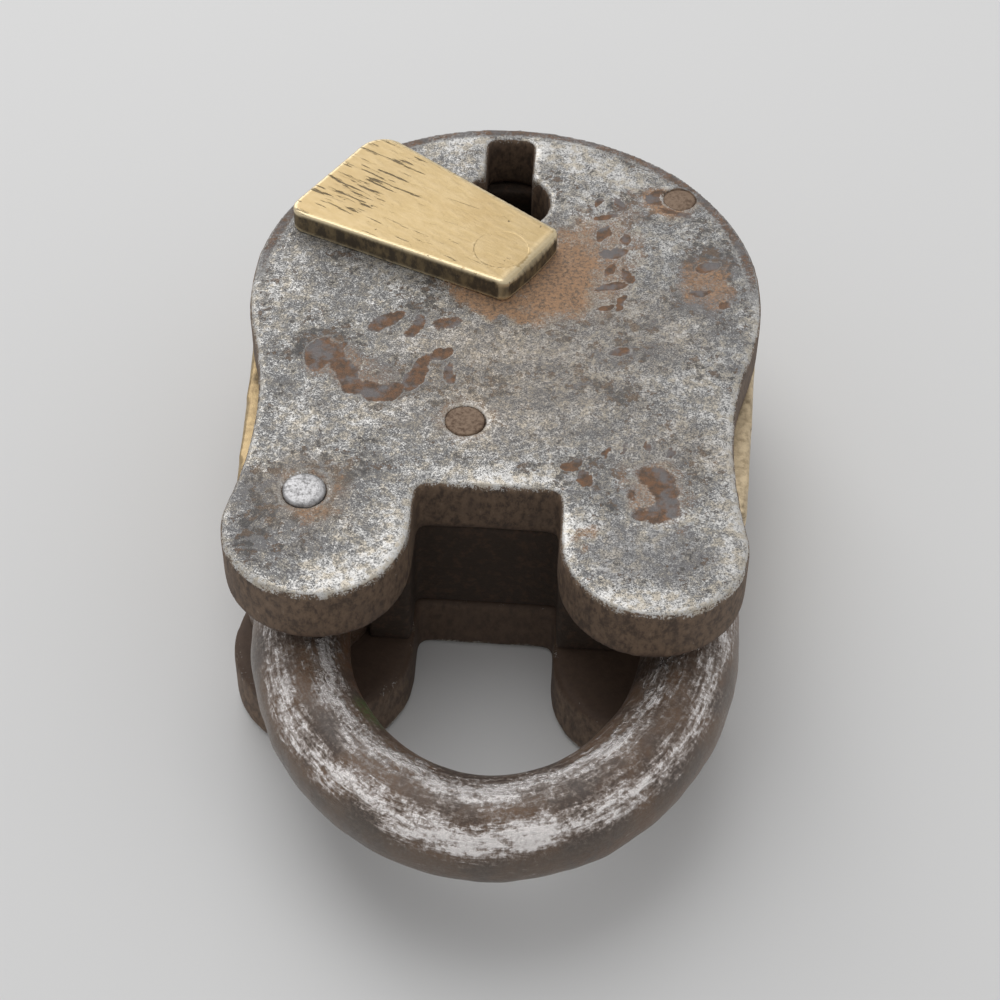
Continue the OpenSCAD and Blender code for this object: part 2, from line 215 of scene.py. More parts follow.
@dataclass
class Blank:
    """A mesh being worked, with its points in millimetres."""

    thing: bpy.types.Object
    points: np.ndarray = field(init=False)
    normals: np.ndarray = field(init=False)

    def __post_init__(self) -> None:
        """Reads the points and normals."""
        self.read()

    def read(self) -> None:
        """Reads the points and normals from the mesh."""
        mesh = self.thing.data
        points = np.zeros(len(mesh.vertices) * 3, np.float32)
        mesh.vertices.foreach_get("co", points)
        self.points = points.reshape(-1, 3).astype(float) / MM
        normals = np.zeros(len(mesh.vertices) * 3, np.float32)
        mesh.vertex_normals.foreach_get("vector", normals)
        self.normals = normals.reshape(-1, 3).astype(float)

    def raise_by(self, height: np.ndarray) -> None:
        """Moves each point along its normal, by a height in millimetres."""
        self.points = self.points + self.normals * height[:, None]
        self.write()

    def write(self) -> None:
        """Writes the points back and reads the new normals."""
        mesh = self.thing.data
        mesh.vertices.foreach_set("co", (self.points * MM).astype(np.float32).ravel())
        mesh.update()
        self.read()

    def edges(self) -> tuple[np.ndarray, np.ndarray]:
        """Reads the mesh's edges.

        Returns:
            The number of each edge's first point, and of its second point.
        """
        mesh = self.thing.data
        edges = np.zeros(len(mesh.edges) * 2, np.int32)
        mesh.edges.foreach_get("vertices", edges)
        return edges[0::2], edges[1::2]

    def gather(self, to_first: np.ndarray, to_second: np.ndarray) -> np.ndarray:
        """Sums values given for each edge at the edge's two points.

        Args:
            to_first: What each edge gives its first point.
            to_second: What each edge gives its second point.

        Returns:
            The sum at each point.
        """
        first, second = self.edges()
        count = len(self.points)
        return np.bincount(first, to_first, count) + np.bincount(second, to_second, count)

    def spread(self, values: np.ndarray, times: int) -> np.ndarray:
        """Averages values over neighbouring points.

        Args:
            values: One value for each point.
            times: How often the averaging is repeated.

        Returns:
            The averaged values.
        """
        first, second = self.edges()
        ones = np.ones(len(first))
        count = self.gather(ones, ones) + 1
        for _ in range(times):
            values = (values + self.gather(values[second], values[first])) / count
        return values

    def edge_wear(self, times: int) -> np.ndarray:
        """Finds the rounded edges.

        Args:
            times: How far the wear spreads, in rounds of averaging.

        Returns:
            0 on flat faces and up to 1 on edges that stand out.
        """
        first, second = self.edges()
        apart = self.points[second] - self.points[first]
        length = np.linalg.norm(apart, axis=1) + 1e-6
        turn = np.einsum("ij,ij->i", self.normals[second] - self.normals[first], apart)
        bend = turn / (length * length)
        ones = np.ones(len(first))
        return self.spread(self.gather(bend, bend) / np.maximum(self.gather(ones, ones), 1), times)

    def mark(self, name: str, values: np.ndarray, clip: bool = True) -> None:
        """Stores one value for each point, for the finish to read.

        Args:
            name: The name that the finish reads.
            values: The values.
            clip: Whether they are kept from 0 to 1.
        """
        layer = self.thing.data.attributes.new(name, "FLOAT", "POINT")
        values = np.clip(values, 0, 1) if clip else values
        layer.data.foreach_set("value", values.astype(np.float32))

    def hand_in(self, finish: bpy.types.Material, body: str, node: str, slot: str,
                ) -> bpy.types.Object:
        """Coats the piece and enters it in the frame, as enter does."""
        self.thing.data.materials.append(finish)
        return enter(self.thing, body, node)


def enter(thing: bpy.types.Object, body: str, node: str) -> bpy.types.Object:
    """Enters a finished piece in the frame.

    Args:
        thing: The piece.
        body: Name of the body that it moves with.
        node: Name of the node that it stands for.

    Returns:
        The same piece.
    """
    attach(thing, body)
    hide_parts(node)
    log.info("%s: %d points", node, len(thing.data.vertices))
    return thing


def new_object(name: str, mesh: bpy.types.Mesh) -> bpy.types.Object:
    """Links a new object at the origin.

    Args:
        name: The object's name.
        mesh: Its mesh.

    Returns:
        The object.
    """
    thing = bpy.data.objects.new(name, mesh)
    bpy.context.scene.collection.objects.link(thing)
    return thing


def settle(thing: bpy.types.Object) -> bpy.types.Object:
    """Turns an object's modifiers into plain mesh.

    Args:
        thing: A mesh object.

    Returns:
        The same object.
    """
    graph = bpy.context.evaluated_depsgraph_get()
    mesh = bpy.data.meshes.new_from_object(thing.evaluated_get(graph))
    mesh.name = thing.name
    thing.modifiers.clear()
    thing.data = mesh
    return thing


def blank_from(node: str, name: str) -> bpy.types.Object:
    """Copies a node's shape into a new object, with its loose triangles merged.

    Args:
        node: Name of a node in the frame.
        name: The new object's name.

    Returns:
        The new object.
    """
    shape = bmesh.new()
    shape.from_mesh(frame["nodes"][node].data)
    bmesh.ops.remove_doubles(shape, verts=shape.verts, dist=1e-6)
    mesh = bpy.data.meshes.new(name)
    shape.to_mesh(mesh)
    shape.free()
    for layer in [a for a in mesh.attributes if not a.is_required and not a.is_internal]:
        mesh.attributes.remove(layer)
    return new_object(name, mesh)


def wear_down(thing: bpy.types.Object, grain: float, rounds: int) -> Blank:
    """Rounds every edge of a solid as years of handling do.

    Args:
        thing: A closed mesh.
        grain: Spacing of the new mesh's points in millimetres.
        rounds: Rounds of smoothing, more for rounder edges.

    Returns:
        The worn blank.
    """
    remesh = thing.modifiers.new("grain", "REMESH")
    remesh.mode = "VOXEL"
    remesh.voxel_size = grain * MM
    remesh.use_smooth_shade = True
    smooth = thing.modifiers.new("wear", "SMOOTH")
    smooth.factor = 0.5
    smooth.iterations = rounds
    settle(thing)
    thing.data.materials.clear()
    for polygon in thing.data.polygons:
        polygon.use_smooth = True
    return Blank(thing)


def cone(shape: bmesh.types.BMesh, place: np.ndarray, wide: tuple[float, float],
         span: tuple[float, float], sides: int) -> None:
    """Adds an upright cone or cylinder to a shape.

    Args:
        shape: The shape.
        place: Place of its axis, in millimetres.
        wide: Its lower and upper radius.
        span: Heights of its lower and upper end.
        sides: Number of its sides.
    """
    verts = bmesh.ops.create_cone(shape, segments=sides, cap_ends=True, radius1=wide[0] * MM,
                                  radius2=wide[1] * MM, depth=(span[1] - span[0]) * MM)["verts"]
    bmesh.ops.translate(shape, verts=verts,
                        vec=(place[0] * MM, place[1] * MM, (span[0] + span[1]) / 2 * MM))


# ---------- node trees ----------


class Board:
    """A node tree with short calls, the base of geometry trees and materials."""

    tree: bpy.types.NodeTree

    def add(self, kind: str, inputs: dict | None = None, **settings: Any) -> bpy.types.Node:
        """Adds a node.

        Args:
            kind: The node's type.
            inputs: Wires or plain values for its inputs, by name or number.
            **settings: Its own settings.

        Returns:
            The node.
        """
        node = self.tree.nodes.new(kind)
        for name, value in settings.items():
            setattr(node, name, value)
        for name, value in (inputs or {}).items():
            self.feed(value, node.inputs[name])
        return node

    def put(self, kind: str, inputs: dict | None = None, output: int | str = 0,
            **settings: Any) -> "Wire":
        """Adds a node, as add does, and returns one of its outputs."""
        return Wire(self, self.add(kind, inputs, **settings).outputs[output])

    def feed(self, value: Any, socket: bpy.types.NodeSocket) -> None:
        """Joins a wire to a socket, or sets a plain number, word or colour.

        Args:
            value: The wire or the plain value.
            socket: The input that takes it.
        """
        if isinstance(value, Wire):
            self.tree.links.new(value.socket, socket)
        elif isinstance(value, tuple) and len(socket.default_value) == 4:
            socket.default_value = (*value, 1.0)
        else:
            socket.default_value = value

    def maths(self, operation: str, *values: Any) -> "Wire":
        """Adds a sum of an operation on wires or numbers."""
        return self.put("ShaderNodeMath", dict(enumerate(values)), operation=operation)

    def vector(self, *parts: Any) -> "Wire":
        """Joins numbers into a vector, with 0 for what is left out."""
        return self.put("ShaderNodeCombineXYZ", dict(enumerate(parts)))


@dataclass(frozen=True)
class Wire:
    """A node's output, which can be reckoned with like a number."""

    board: Board
    socket: bpy.types.NodeSocket

    def __add__(self, other: Any) -> "Wire":
        """Adds another wire or number."""
        return self.board.maths("ADD", self, other)

    def __sub__(self, other: Any) -> "Wire":
        """Takes away another wire or number."""
        return self.board.maths("SUBTRACT", self, other)

    def __rsub__(self, other: float) -> "Wire":
        """Takes this wire away from a number."""
        return self.board.maths("SUBTRACT", other, self)

    def __mul__(self, other: Any) -> "Wire":
        """Multiplies by another wire or number."""
        return self.board.maths("MULTIPLY", self, other)

    def __truediv__(self, other: Any) -> "Wire":
        """Divides by another wire or number."""
        return self.board.maths("DIVIDE", self, other)

    def __pow__(self, other: float) -> "Wire":
        """Raises to a power."""
        return self.board.maths("POWER", self, other)

    def __abs__(self) -> "Wire":
        """Drops the sign."""
        return self.board.maths("ABSOLUTE", self)

    def over(self, other: "Wire") -> "Wire":
        """Takes the greater of two wires."""
        return self.board.maths("MAXIMUM", self, other)


class Works(Board):
    """A geometry node tree with named inputs."""

    def __init__(self, name: str, entries: dict[str, tuple[str, Any]]) -> None:
        """Starts a tree with a geometry output.

        Args:
            name: The tree's name.
            entries: Kind and default of each named input.
        """
        self.tree = bpy.data.node_groups.new(name, "GeometryNodeTree")
        face = self.tree.interface
        face.new_socket("Geometry", in_out="OUTPUT", socket_type="NodeSocketGeometry")
        self.ids: dict[str, str] = {}
        for entry, (kind, value) in entries.items():
            socket = face.new_socket(entry, in_out="INPUT", socket_type="NodeSocket" + kind)
            if value is not None:
                socket.default_value = value
            self.ids[entry] = socket.identifier
        self.inlet = self.add("NodeGroupInput")

    def given(self, entry: str) -> Wire:
        """Returns a named input."""
        return Wire(self, self.inlet.outputs[entry])

    def noise(self, scale: float) -> Wire:
        """Adds noise that the Seed input picks."""
        return self.put("ShaderNodeTexNoise", {"Scale": scale, "Detail": 2.0,
                                               "W": self.given("Seed")}, noise_dimensions="4D")

    def close(self, shape: Wire, place: str) -> None:
        """Moves the shape and ends the tree in Realize Instances and Set Material.

        Args:
            shape: The finished shape.
            place: Name of the input that holds its place.
        """
        moved = self.put("GeometryNodeTransform", {"Geometry": shape,
                                                   "Translation": self.given(place)})
        real = self.put("GeometryNodeRealizeInstances", {0: moved})
        coat = self.put("GeometryNodeSetMaterial", {"Geometry": real,
                                                    "Material": self.given("Finish")})
        self.add("NodeGroupOutput", {0: coat})

    def run(self, name: str, **values: Any) -> bpy.types.Object:
        """Makes an object with this tree.

        Args:
            name: The new object's name.
            **values: Values of the named inputs.

        Returns:
            The object, with the result as plain mesh.
        """
        thing = new_object(name, bpy.data.meshes.new(name))
        modifier = thing.modifiers.new(self.tree.name, "NODES")
        modifier.node_group = self.tree
        for entry, value in values.items():
            modifier[self.ids[entry]] = value
        return settle(thing)


class Paint(Board):
    """One procedural material, with its coordinates in millimetres."""

    def __init__(self, name: str) -> None:
        """Starts the material with a shader, an output and coordinates.

        Args:
            name: The material's name.
        """
        self.material = bpy.data.materials.new(name)
        self.material.use_nodes = True
        self.tree = self.material.node_tree
        self.tree.nodes.clear()
        self.shader = self.add("ShaderNodeBsdfPrincipled")
        self.add("ShaderNodeOutputMaterial", {"Surface": Wire(self, self.shader.outputs[0])})
        place = self.put("ShaderNodeTexCoord", output="Object")
        self.mm = self.put("ShaderNodeVectorMath", {0: place, "Scale": 1 / MM}, operation="SCALE")

    def stretch(self, scale: Colour, turn: float = 0.0, where: Wire | None = None) -> Wire:
        """Stretches coordinates, for grain that runs one way.

        Args:
            scale: Amount along each axis, smaller for longer grain.
            turn: Angle in degrees, about Z, of the grain's own X axis.
            where: Coordinates, or None for plain millimetres.

        Returns:
            The new coordinates.
        """
        spun = where or self.put("ShaderNodeVectorRotate", {
            "Vector": self.mm, "Angle": math.radians(-turn)}, rotation_type="Z_AXIS")
        return self.put("ShaderNodeVectorMath", {0: spun, 1: scale}, operation="MULTIPLY")

    def noise(self, scale: float, detail: float = 3.0, rough: float = 0.55,
              where: Wire | None = None, bend: float = 0.0) -> Wire:
        """Adds noise.

        Args:
            scale: Lumps in each millimetre.
            detail: Number of finer layers.
            rough: Strength of the finer layers.
            where: Coordinates, or None for plain millimetres.
            bend: Distortion.

        Returns:
            The noise, from 0 to 1.
        """
        return self.put("ShaderNodeTexNoise", {
            "Scale": scale, "Detail": detail, "Roughness": rough, "Distortion": bend,
            "Vector": where or self.mm}, "Fac")

    def band(self, value: Wire, start: float, end: float, top: float = 1.0) -> Wire:
        """Eases a value from 0 at start to the top amount at end."""
        return self.put("ShaderNodeMapRange", {
            "From Min": start, "From Max": end, "To Max": top, "Value": value}, "Result",
            interpolation_type="SMOOTHSTEP")

    def blend(self, share: Any, first: Any, second: Any) -> Wire:
        """Mixes two colours by the share of the second."""
        return self.put("ShaderNodeMix", {0: share, 6: first, 7: second}, 2, data_type="RGBA")

    def sweep(self, share: Any, first: Any, second: Any) -> Wire:
        """Mixes two numbers by the share of the second."""
        return self.put("ShaderNodeMix", {0: share, 2: first, 3: second}, data_type="FLOAT")

    def heap(self, parts: list[tuple[Wire, float]]) -> Wire:
        """Adds up noises about their middle.

        Args:
            parts: Each noise with its strength.

        Returns:
            The sum, about 0 in the middle.
        """
        total: Any = -0.5 * sum(strength for _, strength in parts)
        for noise, strength in parts:
            total = self.maths("MULTIPLY_ADD", noise, strength, total)
        return total

    def sign(self, name: str) -> Wire:
        """Reads a value stored on the mesh."""
        return self.put("ShaderNodeAttribute", output="Fac", attribute_name=name)

    def relief(self, height: Wire, depth: float) -> None:
        """Adds fine relief over what is there.

        Args:
            height: Height of the relief, from 0 to 1.
            depth: Its depth in millimetres.
        """
        bump = self.add("ShaderNodeBump", {"Distance": depth * MM, "Height": height})
        normal = self.shader.inputs["Normal"]
        if normal.is_linked:
            self.tree.links.new(normal.links[0].from_socket, bump.inputs["Normal"])
        self.tree.links.new(bump.outputs[0], normal)

    def surface(self, colour: Wire, rough: Wire, metal: Any) -> bpy.types.Material:
        """Feeds the shader and ends the material.

        Args:
            colour: Its colour.
            rough: Its roughness.
            metal: Its share of metal.

        Returns:
            The material.
        """
        self.feed(colour, self.shader.inputs["Base Color"])
        self.feed(rough, self.shader.inputs["Roughness"])
        self.feed(metal, self.shader.inputs["Metallic"])
        return self.material


# ---------- finishes ----------


@dataclass(frozen=True)
class WornSteel:
    """Steel that is rubbed to a pale speckle, with painted highlights on its brightest patches,
    rust in its hollows and brown walls.
    """

    name: str = "worn_steel"
    pale: Colour = (0.60, 0.59, 0.572)
    grey: Colour = (0.27, 0.262, 0.255)
    dark: Colour = (0.118, 0.112, 0.108)
    cream: Colour = (0.49, 0.445, 0.375)
    blue: Colour = (0.20, 0.20, 0.205)
    tan: Colour = (0.41, 0.335, 0.255)
    blot: Colour = (0.092, 0.088, 0.086)
    umber: Colour = (0.165, 0.115, 0.078)
    slate: Colour = (0.192, 0.186, 0.19)
    rust: Colour = (0.225, 0.118, 0.062)
    stain: Colour = (0.44, 0.255, 0.138)
    soot: Colour = (0.105, 0.072, 0.052)
    inside: Colour = (0.060, 0.034, 0.021)
    wall: Colour = (0.178, 0.118, 0.076)
    deep: Colour = (0.06, 0.040, 0.028)

    def speckle(self, paint: Paint) -> tuple[Wire, Wire]:
        """Builds the salt and pepper of the rubbed face.

        Args:
            paint: The material being built.

        Returns:
            The height of the speckle, about 0 in the middle, and its colour.
        """
        edge, dark, bright = paint.sign("edge"), paint.sign("dark"), paint.sign("bright")
        level = paint.heap([(paint.noise(4.2, 3, 0.75), 3.0), (paint.noise(1.3, 4, 0.7), 1.4),
                            (paint.noise(0.2, 4, 0.65), 1.1), (paint.noise(0.05, 2, 0.5), 0.5)])
        # The bright patches lift the speckle to pale: rubbed metal, with painted highlights where
        # the face catches the light.
        level = level + bright * 0.30 + edge * 0.22 - dark * 0.18
        hue = paint.noise(0.6, 3, 0.6)
        mid = paint.blend(paint.band(hue, 0.42, 0.6), self.grey, self.blue)
        high = paint.blend(paint.band(hue, 0.56, 0.40), self.pale, self.cream)
        steel = paint.blend(paint.band(level, -0.62, -0.16), self.dark, mid)
        steel = paint.blend(paint.band(level, -0.18, 0.27), steel, high)
        smooth = paint.band(dark + (hue - 0.5) * 1.2, 0.40, 0.80, 0.5)
        steel = paint.blend(smooth, steel, self.slate)
        pits = paint.band(paint.noise(1.5, 3, 0.62), 0.60, 0.66, 0.5)
        steel = paint.blend(pits, steel, self.blot)
        # Pitted blotches with ragged edges, crowded where the face is dark.
        spots = paint.heap([(paint.noise(0.70, 6, 0.74), 3.4), (paint.noise(0.12, 3, 0.6), 1.5)])
        spots = spots + dark * 0.30 - (bright + edge) * 0.40
        blotch = paint.blend(paint.band(hue, 0.46, 0.58), self.blot, self.umber)
        steel = paint.blend(paint.band(spots, 0.24, 0.32, 0.8), steel, blotch)
        tint = paint.sign("tan") * paint.band(level, -0.5, 0.3, 0.7)
        return level, paint.blend(tint, steel, self.tan)

    def rusted(self, paint: Paint, steel: Wire, level: Wire, fine: Wire,
               ) -> tuple[Wire, Wire, Wire]:
        """Lays rust in the hollows, with a thin pale lip round each, and stains beside them.

        Args:
            paint: The material being built.
            steel: Colour of the rubbed face.
            level: Height of its speckle.
            fine: Fine noise.

        Returns:
            The new colour, the share of rust and the share of stain.
        """
        ragged = paint.sign("rust") + (fine - 0.5) * -0.75
        rusty = paint.band(ragged, 0.34, 0.62)
        lip = paint.band(ragged, 0.12, 0.26) * paint.band(ragged, 0.42, 0.32, 0.28)
        steel = paint.blend(lip, steel, self.pale)
        tone = paint.blend(paint.band(paint.noise(0.8, 5, 0.7), 0.36, 0.62), self.soot, self.rust)
        tone = paint.blend(paint.band(paint.noise(0.28, 3, 0.6), 0.47, 0.62, 0.8), tone, self.slate)
        stained = paint.band(paint.sign("stain") + level * -0.35, 0.15, 0.75, 0.92)
        steel = paint.blend(stained, steel, paint.blend(paint.band(fine, 0.34, 0.60), self.umber,
                                                        self.stain))
        return paint.blend(rusty, steel, tone), rusty, stained

    def walls(self, paint: Paint, rub: Wire) -> Wire:
        """Colours the walls, which are brown all over and rubbed where they stand out.

        Args:
            paint: The material being built.
            rub: Noise that says where they stand out.

        Returns:
            The colour.
        """
        side = paint.blend(paint.band(rub, 0.34, 0.62), self.deep, self.wall)
        side = paint.blend(paint.band(paint.noise(0.25, 4, 0.6), 0.5, 0.7, 0.5), side, self.soot)
        side = paint.blend(paint.band(rub, 0.62, 0.76, 0.4), side, self.tan)
        return paint.blend(paint.sign("inner") * 0.88, side, self.inside)

    def make(self) -> bpy.types.Material:
        """Builds the finish.

        Returns:
            The material.
        """
        paint = Paint(self.name)
        level, steel = self.speckle(paint)
        fine = paint.noise(2.2, 4, 0.7)
        rub = paint.noise(1.0, 5, 0.72, paint.stretch((1, 1, 0.6)))
        top, rusty, stained = self.rusted(paint, steel, level, fine)
        shade = paint.band(paint.sign("face") + (fine - 0.5) * 0.9, 0.22, 0.6)
        body = paint.blend(shade, self.walls(paint, rub), top)
        chip = paint.sign("edge") + paint.heap([(paint.noise(4.2, 3, 0.75), 2.9), (fine, 1.6),
                                                (paint.noise(0.3, 3, 0.6), 2.2)])
        shine = paint.band(chip, 0.95, 1.3)
        high = paint.blend(paint.band(paint.noise(0.8, 3, 0.6), 0.6, 0.4), self.pale, self.cream)
        body = paint.blend(shine, body, high)
        bare = shine.over(shade * (1 - rusty.over(stained * 0.8)))
        gloss = paint.sweep(paint.band(level, -0.4, 0.4), 0.58, 0.38)
        paint.relief(paint.sweep(shade, rub, paint.band(level, -0.5, 0.5)), 0.07)
        paint.relief(paint.noise(0.35, 3, 0.5), 0.12)
        return paint.surface(body, paint.sweep(bare, 0.74, gloss), bare * 0.62)


@dataclass(frozen=True)
class ForgedSteel:
    """Dark forged bar, streaked bright along the ridges that rub, with a painted highlight on the
    ridges that is strongest at the bottom middle.
    """

    name: str = "forged_steel"
    base: Colour = (0.088, 0.064, 0.053)
    warm: Colour = (0.180, 0.108, 0.066)
    grey: Colour = (0.225, 0.176, 0.142)
    silver: Colour = (0.35, 0.295, 0.262)
    # pale: the brightest rubbed metal, also used for the painted highlight on the ridges.
    pale: Colour = (0.95, 0.905, 0.885)
    olive: Colour = (0.135, 0.112, 0.088)
    rust: Colour = (0.21, 0.10, 0.045)
    green: Colour = (0.10, 0.17, 0.05)

    def make(self) -> bpy.types.Material:
        """Builds the finish.

        Returns:
            The material.
        """
        paint = Paint(self.name)
        under = paint.sign("under")
        run = paint.vector(paint.sign("along"), paint.sign("around"))
        streak = paint.noise(0.9, 6, 0.75, paint.stretch((0.24, 1.2, 1), where=run), 0.3)
        fine = paint.noise(1.6, 5, 0.75)
        mid = paint.noise(0.55, 5, 0.7)
        broad = paint.noise(0.11, 4, 0.6)
        body = paint.blend(paint.band(broad, 0.38, 0.62), self.base, self.warm)
        body = paint.blend(paint.band(fine, 0.42, 0.70, 0.7), body, self.grey)
        body = paint.blend(paint.sign("rust") * paint.band(mid, 0.36, 0.58), body, self.rust)
        body = paint.blend(paint.sign("green") * paint.band(fine, 0.4, 0.55), body, self.green)
        worn = paint.heap([(streak, 3.0), (fine, 2.2), (mid, 0.9), (broad, 0.6)])
        # The ridge mark raises the wear: rubbed metal, with a painted highlight strongest at the
        # bottom middle.
        worn = worn + paint.sign("ridge") * 0.96 - under * 0.34
        bare = paint.band(worn, 0.20, 0.58)
        body = paint.blend(paint.band(worn, -0.05, 0.4, 0.5), body, self.grey)
        body = paint.blend(under * 0.45, body, self.olive)
        body = paint.blend(bare, body, paint.blend(paint.band(worn, 0.42, 1.0), self.silver,
                                                   self.pale))
        paint.shader.inputs["Coat Weight"].default_value = 0.5
        paint.shader.inputs["Coat Roughness"].default_value = 0.26
        paint.relief(worn, 0.16)
        paint.relief(paint.noise(0.3, 3, 0.5), 0.5)
        return paint.surface(body, paint.sweep(bare, 0.44, 0.27), paint.sweep(bare, 0.55, 0.92))


@dataclass(frozen=True)
class CaseBrass:
    """Dull cast brass with dark file marks that run round the case, painted lighter towards the
    right as if lit there, and darker in the notch with encrusted soiling and painted shade.
    """

    name: str = "case_brass_worn"
    gold: Colour = (0.47, 0.35, 0.19)
    # Painted light: the case turns lighter and yellower towards the right, as if lit there.
    painted_light_right: Colour = (0.74, 0.60, 0.40)
    brown: Colour = (0.21, 0.145, 0.08)
    black: Colour = (0.034, 0.021, 0.013)
    scale: Colour = (0.062, 0.034, 0.020)

    def make(self) -> bpy.types.Material:
        """Builds the finish.

        Returns:
            The material.
        """
        paint = Paint(self.name)
        lines = paint.noise(1.0, 4, 0.7, paint.stretch((0.09, 0.09, 2.2)))
        fine = paint.noise(0.9, 4, 0.65)
        # Painted light: lighter towards the right.
        body = paint.blend(paint.sign("painted_light_right"), self.gold, self.painted_light_right)
        body = paint.blend(paint.band(fine, 0.35, 0.75, 0.6), body, self.brown)
        body = paint.blend(paint.band(lines, 0.52, 0.68, 0.9), body, self.black)
        # Darker and rougher in the notch: encrusted soiling, and painted shade between the plates.
        dirt_and_notch_shade = paint.band(paint.sign("grime_and_shade") + (fine - 0.5) * 0.8, 0.35, 0.75)
        crust_and_shade = paint.blend(paint.band(fine, 0.45, 0.7), self.black, self.scale)
        paint.relief(paint.sweep(dirt_and_notch_shade, lines, fine), 0.15)
        paint.relief(fine, 0.08)
        return paint.surface(paint.blend(dirt_and_notch_shade, body, crust_and_shade), paint.sweep(dirt_and_notch_shade, 0.42, 0.8),
                             paint.sweep(dirt_and_notch_shade, 0.75, 0.1))


@dataclass(frozen=True)
class CoverBrass:
    """Pale rubbed brass with dark gouges along its length. Its worn edges carry a painted
    highlight, and its soiled walls are painted darker as shade.
    """

    name: str = "cover_brass_worn"
    turn: float = 148.4
    gold: Colour = (0.45, 0.335, 0.170)
    light: Colour = (0.55, 0.430, 0.255)
    amber: Colour = (0.40, 0.275, 0.125)
    dull: Colour = (0.33, 0.24, 0.122)
    # glint: the rubbed edges' colour, made bright as a painted highlight.
    glint: Colour = (0.80, 0.67, 0.44)
    # Wall colours, darker copies of the top's brass: soiling, and painted shade on the walls.
    side: Colour = (0.165, 0.120, 0.062)
    dirt_and_shade: Colour = (0.055, 0.040, 0.024)
    pit: Colour = (0.105, 0.078, 0.048)

    def marks(self, paint: Paint, gouge: Wire) -> Wire:
        """Scatters gouges, thin scratches and pits.

        Args:
            paint: The material being built.
            gouge: How thickly the gouges lie.

        Returns:
            Their strength, from 0 to 1.
        """
        strip = paint.noise(1.0, 5, 0.64, paint.stretch((0.17, 1.6, 1), self.turn + 3))
        cut = paint.band(strip + gouge * 0.17, 0.68, 0.77)
        scratch = paint.noise(1.0, 2, 0.5, paint.stretch((0.12, 4.5, 1), self.turn + 9))
        thin = paint.band(scratch, 0.70, 0.78, 0.3)
        cells = paint.put("ShaderNodeTexVoronoi", {"Scale": 0.5, "Vector": paint.mm}, "Distance")
        pits = paint.band(cells + paint.noise(0.5, 2), 0.48, 0.40)
        return cut.over(thin.over(pits))

    def make(self) -> bpy.types.Material:
        """Builds the finish.

        Returns:
            The material.
        """
        paint = Paint(self.name)
        gouge = paint.sign("gouge")
        sheen = paint.noise(0.8, 4, 0.6, paint.stretch((0.5, 1.3, 1), self.turn))
        body = paint.blend(paint.band(sheen, 0.35, 0.7, 0.45), self.gold, self.light)
        body = paint.blend(paint.band(paint.noise(0.09, 3, 0.5), 0.45, 0.75, 0.35), body,
                           self.amber)
        body = paint.blend(gouge * 0.4, body, self.dull)
        mark = self.marks(paint, gouge)
        body = paint.blend(mark * 0.66, body, self.pit)
        # The walls are painted darker than the top: soiling, and painted shade on the sides.
        grime_and_shade = paint.noise(0.8, 4, 0.65, paint.stretch((1, 1, 0.5)))
        wall = paint.blend(paint.band(grime_and_shade, 0.4, 0.65), self.dirt_and_shade, self.side)
        wall = paint.blend(paint.band(paint.noise(2.6, 3, 0.7), 0.62, 0.75, 0.3), wall, self.gold)
        nick = paint.noise(1.1, 4, 0.7)
        on_top = paint.band(paint.sign("face") + (nick - 0.5) * 1.3, 0.30, 0.5)
        # Worn rims and a painted highlight line from the edge mark, both in the glint colour:
        # rubbed brass with a painted highlight.
        worn = paint.sign("edge") * paint.band(grime_and_shade, 0.3, 0.45)
        body = paint.blend(worn * 0.85, paint.blend(on_top, wall, body), self.glint)
        clean = (on_top * (1 - mark)).over(worn)
        paint.relief(1 - mark, 0.16)
        paint.relief(sheen, 0.05)
        return paint.surface(body, paint.sweep(clean, 0.65, 0.36), paint.sweep(clean, 0.2, 0.8))


@dataclass(frozen=True)
class RivetSteel:
    """A rivet's end: hammered metal with fine marks, and rust if it is old."""

    name: str
    body: Colour
    spot: Colour
    metal: float
    rough: float

    def make(self) -> bpy.types.Material:
        """Builds the finish.

        Returns:
            The material.
        """
        paint = Paint(self.name)
        fine = paint.noise(1.8, 5, 0.7)
        share = paint.band(fine + paint.noise(0.5, 3, 0.6) * 0.5, 0.66, 0.95)
        paint.relief(fine, 0.08)
        return paint.surface(
            paint.blend(share, self.body, self.spot),
            paint.sweep(share, self.rough, min(1.0, self.rough + 0.25)), self.metal)


@dataclass(frozen=True)
class LockMetal:
    """Metal inside the lock: sawn and filed, with a film of old grease. Where it is brass, its
    colours are near black: painted shade, so that the keyhole looks dark inside.
    """

    name: str
    clean: Colour
    film: Colour
    grain: Colour
    rough: float = 0.4

    def make(self) -> bpy.types.Material:
        """Builds the finish.

        Returns:
            The material.
        """
        paint = Paint(self.name)
        saw = paint.noise(1.0, 3, 0.6, paint.stretch(self.grain, 18))
        blot = paint.noise(0.22, 4, 0.65)
        share = paint.band(blot + saw * 0.35, 0.55, 0.9)
        paint.relief(saw, 0.05)
        paint.relief(blot, 0.06)
        return paint.surface(paint.blend(share, self.clean, self.film),
                             paint.sweep(share, self.rough, 0.75), paint.sweep(share, 0.9, 0.35))


# ---------- the lock ----------


